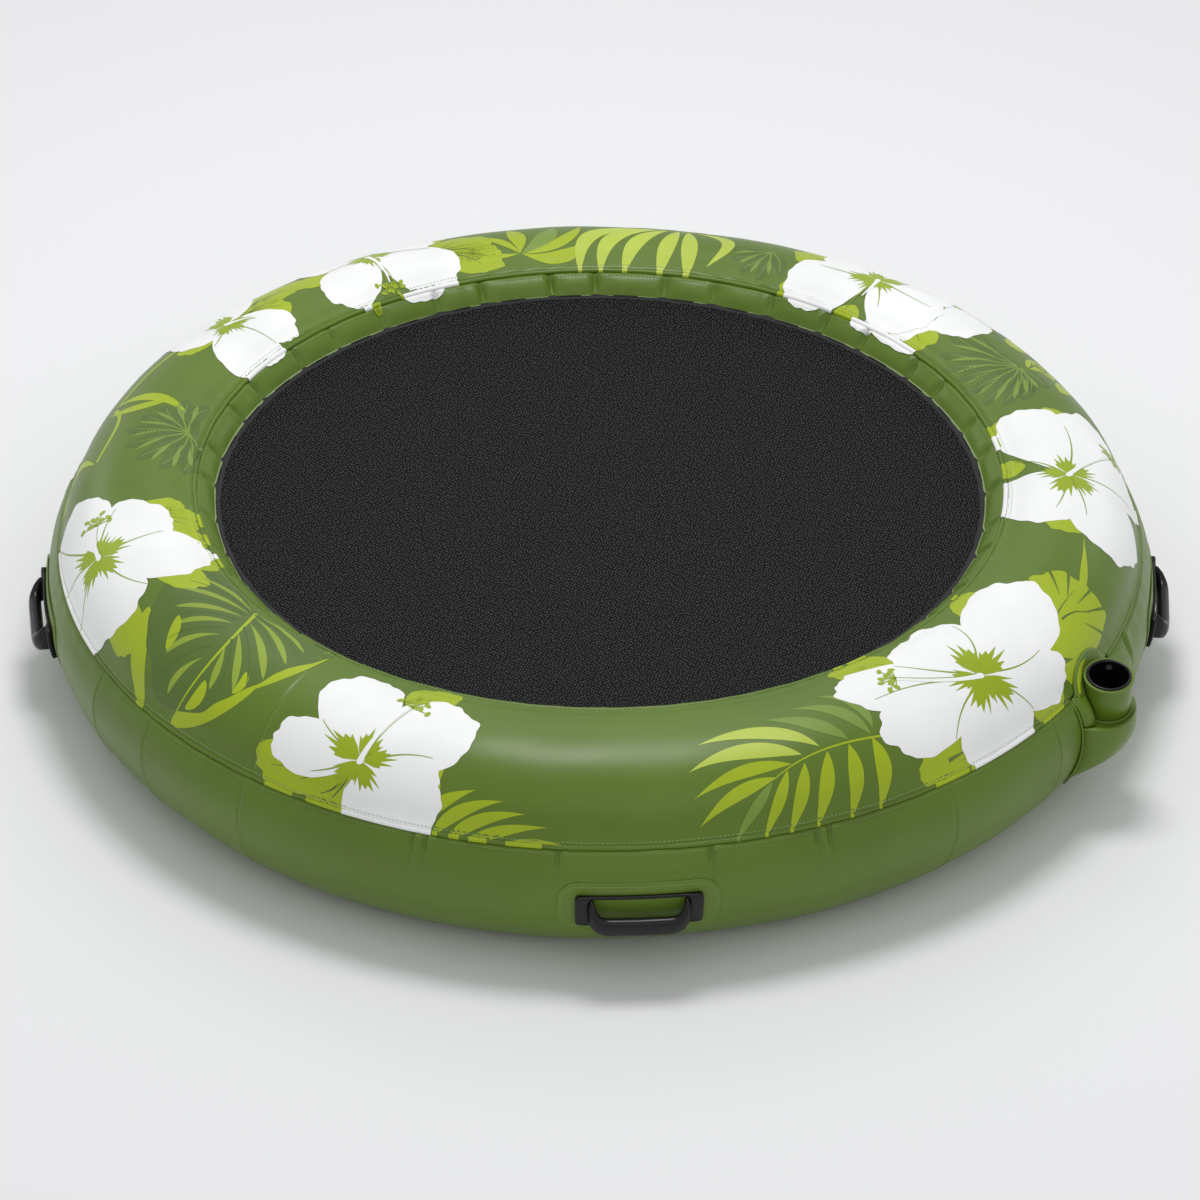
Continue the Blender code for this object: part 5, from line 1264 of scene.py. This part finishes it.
for side, degrees in (("front", -86.0), ("right", -4.6), ("back", 94.0), ("left", 188.3)):
    azimuth = math.radians(degrees)
    patch = grid("patch_" + side, on_wall(azimuth, patch_local)[:, ::-1], close_columns=True)
    finished(patch, "handle_patch_" + side, patch_look)
    thread, thread_next, thread_out = (
        on_wall(azimuth, at_height(flat, high))
        for flat, high in ((seam, seam_lift), (ahead, seam_lift), (seam, seam_top))
    )
    along, out = unit(thread_next - thread), unit(thread_out - thread)
    stitches("patch_stitches_" + side, thread, along, out, seam_stitch, thread_look)
    base_points = on_wall(azimuth, base_local)[:, ::-1]
    base = grid("base_" + side, base_points, close_rows=True, close_columns=True)
    finished(base, "handle_base_" + side, black_look)
    grip = grid("grip_" + side, off_wall(azimuth, grip_local), close_rows=True)
    finished(grip, "handle_grip_" + side, black_look)


# Cup holder: a fabric sleeve on a sewn pocket, with a moulded liner and rim inside it, and a
# curved hood that joins it to the top panel.
def axis_frame(origin, axis):
    """Origin and three axes: the third is the given one, the first lies level."""
    out = unit(np.array(axis))
    first = unit(np.cross(np.array([0.0, 0.0, 1.0]), out))
    return np.array(origin), first, np.cross(out, first), out


def rounded_profile(corners, radius):
    """A closed profile with each corner rounded by a short curve through a radius."""
    made = []
    for i, b in enumerate(corners):
        before, after = corners[i - 1] - b, corners[(i + 1) % len(corners)] - b
        long, short = np.linalg.norm(before), np.linalg.norm(after)
        cut = min(radius, long * 0.45, short * 0.45)
        start, stop = b + before / long * cut, b + after / short * cut
        for t in shares(4):
            made.append((1 - t) ** 2 * start + 2 * t * (1 - t) * b + t * t * stop)
    return np.array(made)


def turned(name, place, corners, radius):
    """A closed profile of (radius, height) corners in tenths of a millimetre, rounded, and turned
    round a frame's third axis."""
    origin, first, second, out = place
    angle = full_turn(96)[None, :, None]
    profile = rounded_profile(np.array(corners) / 10000, radius)[:, :, None, None]
    turn = np.cos(angle) * first + np.sin(angle) * second
    points = origin + profile[:, 0] * turn + profile[:, 1] * out
    return grid(name, points, close_rows=True, close_columns=True)


def refinished(node, look):
    """Give a CAD node that stays a finer material."""
    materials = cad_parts[node].data.materials
    materials.clear()
    materials.append(look)


cup = axis_frame((0.8809592, -0.4933609, 0.2715), (0.0094160, -0.1366361, 0.9905766))
rim_look = moulded("rim_black", (0.006, 0.006, 0.007), roughness=0.20)
sleeve_look = coated_fabric("sleeve_green", cover_olive, roughness=0.32)
for name, node, radius, look, slot, fill, corners in (
    ("sleeve", "cup_sleeve", 0.0009, sleeve_look, "cover_green", 1.0,
     [(408, -38), (430, -38), (430, -780), (408, -780)]),
    ("sleeve_binding", "cup_edge_binding", 0.0009, patch_look, "patch", 1.0,
     [(393, -23), (445, -23), (445, -85), (433, -85), (433, -35), (405, -35), (405, -85),
      (393, -85)]),
    ("sleeve_collar", "cup_collar", 0.0012, patch_look, "patch", 1.0,
     [(433, -700), (462, -702), (483, -740), (462, -778), (433, -780)]),
    ("liner", "cup_liner", 0.0012, black_look, "moulded_black", None,
     [(372, -73), (390, -73), (390, -1040), (40, -1040), (40, -1015), (372, -1015)]),
    ("rim", "cup_rim", 0.0014, rim_look, "moulded_black", None,
     [(379, 10), (396, -8), (391, -70), (337, -70), (337, -30), (352, 4)]),
):
    finished(turned(name, cup, corners, radius), node, look)
refinished("cup_stud", moulded("stud_grey", (0.11, 0.11, 0.115), roughness=0.22))
radial = np.array([math.cos(cup_azimuth), math.sin(cup_azimuth), 0.0])


def cup_circle(radius, height, angle):
    """Points round the cup's axis at a radius and a height; angle 0 faces out of the ring."""
    origin, _, _, out = cup
    first = unit(radial - out * radial.dot(out))
    turn = np.cos(angle)[..., None] * first + np.sin(angle)[..., None] * np.cross(out, first)
    return origin + np.asarray(radius)[..., None] * turn + np.asarray(height)[..., None] * out


def beside_wall(across, height, lift):
    """Points of the outer wall at a distance across from the cup's plane and at a height."""
    length = np.interp(-height, -side_line[:, 1], side_line[:, 2])
    radius = np.interp(length, side_line[:, 2], side_line[:, 0])
    return around(side_line, cup_azimuth + np.arcsin(across / radius), length, lift)


# Pocket: it bulges off the wall and closes in a lip under the sleeve's collar.
share = shares(30)[:, None]
angle = np.linspace(-np.pi / 2, np.pi / 2, 60)[None, :]
height = pod_bottom + (pod_top - pod_bottom) * share
bulge = pod_reach * (1 - (1 - share) ** 3) * np.abs(np.cos(angle)) ** 0.9
pod_points = beside_wall(pod_half * np.sin(angle), height, 0.0006) + bulge[..., None] * radial
lip, lip_low = (cup_circle(r, h, angle) for r, h in ((0.0440, -0.0725), (0.0462, -0.0755)))
pod_points = np.concatenate([pod_points, lip_low * 0.6 + pod_points[-1:] * 0.4, lip_low, lip])
pod = grid("pod", pod_points[::-1])
finished(pod, "cup_pod", cover_look, wall=cover_wall)

# Hood: a sheet from an arc on the top panel and the wall beside the pocket to the sleeve.
hood_lift, hood_foot = 0.0016, 0.243
hood_angle = math.asin((pod_half - 0.001) / hood_bend) * (1 - 2 * shares(60))
hood_x = hood_centre - (hood_bend - hood_lift) * np.cos(hood_angle)
hood_y = (hood_bend - hood_lift) * np.sin(hood_angle)
crest = int(np.argmax(top_line[:, 1]))
hood_turn = cup_azimuth + np.arctan2(hood_y, hood_x)
hood_length = np.interp(np.hypot(hood_x, hood_y), top_line[crest:, 0], top_line[crest:, 2])
foot_across, foot_lift = pod_half - 0.0014, 0.001
edge = np.concatenate([
    beside_wall(foot_across, np.linspace(pod_top + 0.001, hood_foot, 12), foot_lift),
    around(top_line, hood_turn, hood_length, top_lift(hood_turn, hood_length) + hood_lift),
    beside_wall(-foot_across, np.linspace(hood_foot, pod_top + 0.001, 12), foot_lift),
])
count = len(edge)
inner_angle = np.pi * (0.5 + shares(count))
share = shares(16)[:, None, None]
behind = np.sin(np.linspace(0.0, np.pi, count)) ** 0.5
inner_circle = cup_circle(0.0480 - 0.0042 * behind, -0.0700 + 0.0560 * behind, inner_angle)
hood_points = edge[None] * (1 - share) + inner_circle[None] * share
outward = unit(np.cross(np.gradient(edge, axis=0), inner_circle - edge))
outward *= np.sign(outward[:, 2:3].mean())
crown = (0.0115 - 0.0080 * behind[None, :, None]) * (share * (1 - share) * 4) ** 0.6
hood_points = hood_points + crown * outward[None]
hood = grid("hood", hood_points[::-1])
finished(hood, "cup_hood", cover_look, wall=cover_wall)

# The hood's edge is stitched, and a lime streak runs over its left side: partly the panel's print
# carried on, partly a painted highlight where that side catches the light.
hem_path = hood_points[1, 8:-8]
far = length_along(hem_path)
hood_pitch, hood_stitch = 0.0055, 0.0036
at = np.arange(0.003, far[-1], hood_pitch)
hem_stitch, hem_ahead = sampled(at, far, hem_path), sampled(at + 1e-4, far, hem_path)
hem_up = unit(sampled(at, far, outward[8:-8]))
hem_along = unit(hem_ahead - hem_stitch)
hem_stitch = hem_stitch + 0.0003 * hem_up
stitches("hood_stitches", hem_stitch, hem_along, hem_up, hood_stitch, thread_look)
streak_start, streak_end = 0.50, 0.84
streak_turn = np.linspace(streak_start, streak_end, 28)
streak_wide = 0.17 * np.sin(np.pi * (streak_turn - streak_start) / 0.34) ** 0.7
streak_share = 0.30 + streak_wide[None, :] * np.linspace(-1.0, 1.0, 6)[:, None]
column, row = streak_turn * (count - 1), streak_share * 15
low_column, low_row = np.floor(column).astype(int), np.floor(row).astype(int)
across, down = (column - low_column)[None, :, None], (row - low_row)[..., None]
streak_points = sum(
    hood_points[low_row + i, (low_column + j)[None, :]]
    * (down if i else 1 - down)
    * (across if j else 1 - across)
    for i in (0, 1)
    for j in (0, 1)
)
streak = grid("hood_print_and_highlight", streak_points[::-1] + 0.0006 * outward[low_column][None])
finished(streak, None, prints["lime"].data.materials[0])

# Welt: a narrow piping down both sides of the pocket and under it.
welt_radius, welt_across = 0.0022, 0.0750
welt_height = np.concatenate([np.linspace(0.235, 0.082, 30), [0.0765, 0.0740]])
path = np.concatenate([
    beside_wall(-welt_across, welt_height, welt_radius),
    beside_wall(np.linspace(-0.072, 0.072, 30), 0.0735, welt_radius),
    beside_wall(welt_across, welt_height, welt_radius)[::-1],
])
heading = unit(np.gradient(path, axis=0))
across = unit(np.cross(heading, unit(path * np.array([1.0, 1.0, 0.0]))))
up = np.cross(across, heading)
welt_points = capped(path, tube_round(path, across, up, welt_radius, 10))
finished(grid("welt", welt_points, close_rows=True), "cup_welt", cover_look)

# Inflation valve, behind on the wall: a grey screw cap on a moulded seat, which is welded to the
# film; its flap and seal sit under the cap.
valve_look = moulded("valve_grey", (0.42, 0.44, 0.45), roughness=0.38)
rubber_look = moulded("rubber", (0.02, 0.02, 0.022), roughness=0.62)
valve = axis_frame((-0.5957366, 0.7977880, 0.1452606), (-0.5919374, 0.7927003, -0.1457270))
for name, node, radius, look, slot, corners in (
    ("valve_seat", "valve_base", 0.0006, valve_look, "valve_plastic",
     [(130, 93), (165, 93), (165, 18), (245, 18), (245, 3), (130, 3)]),
    ("valve_plug", "valve_insert", 0.0006, valve_look, "valve_plastic",
     [(97, 141), (165, 141), (165, 119), (127, 119), (127, 3), (97, 3)]),
    ("valve_washer", "valve_seal", 0.0006, rubber_look, "rubber",
     [(164, 106), (154, 96), (144, 106), (154, 116)]),
    ("valve_flap_disc", "valve_flap", 0.0003, rubber_look, "rubber",
     [(112, 0), (112, -10), (1, -10), (1, 0)]),
):
    finished(turned(name, valve, corners, radius), node, look)
refinished("valve_cap", valve_look)

# Zip: two woven tapes sewn to the wall behind, moulded teeth along their meeting edges, and a
# cast slider with its pull. The inflated ring goes in and out through it.
metal_look = moulded("zip_metal", (0.55, 0.55, 0.53), roughness=0.28, depth=0.00004, Metallic=1.0)
zip_radius = float(zip_above[0] + zip_below[0]) / 2
azimuth = np.linspace(zip_start, zip_end, 160)[None, :]


def on_zip(azimuth, across, height):
    """Points of the ring beside the zip's middle, up the wall by across and off its flat strip."""
    length = zip_length - across
    return around(side_line, azimuth, length, np.interp(length, side_line[:, 2], zip_bed) + height)


tape_near, tape_far, tape_lift = 0.0030, 0.0159, 0.0011
for side, label in ((1.0, "upper"), (-1.0, "lower")):
    across = np.linspace(tape_near, tape_far, 8)[:, None] * side
    tape = grid("tape_" + label, on_zip(azimuth, across, tape_lift)[:: int(-side)])
    finished(tape, "zip_tape_" + label, webbing_look, wall=cover_wall)
tooth_pitch = 0.0045
tooth_rim = rounded_outline(0.0062, 0.0018, 0.0006, 10)
tooth_rings = [(1.0, 0.0004), (1.0, 0.0022), (0.78, 0.0030), (0.0, 0.0031)]
tooth = np.stack([at_height(tooth_rim * share, high) for share, high in tooth_rings])
tooth_count = int((zip_end - zip_start) * zip_radius / tooth_pitch) - 4
for side, label in ((1.0, "upper"), (-1.0, "lower")):
    middle = zip_start + (np.arange(tooth_count) + 2.25 + 0.25 * side) * tooth_pitch / zip_radius
    turn = middle[:, None, None] + tooth[None, ..., 1] / zip_radius
    teeth = on_zip(turn, tooth[..., 0] + 0.0010 * side, tooth[..., 2])
    row_of_teeth = repeated("teeth_" + label, teeth, cell_faces(4, 10, close_columns=True))
    finished(row_of_teeth, None, black_look)
for node in ("zip_stop_first", "zip_stop_last", "zip_slider", "zip_pull"):
    refinished(node, metal_look)

low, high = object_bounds()
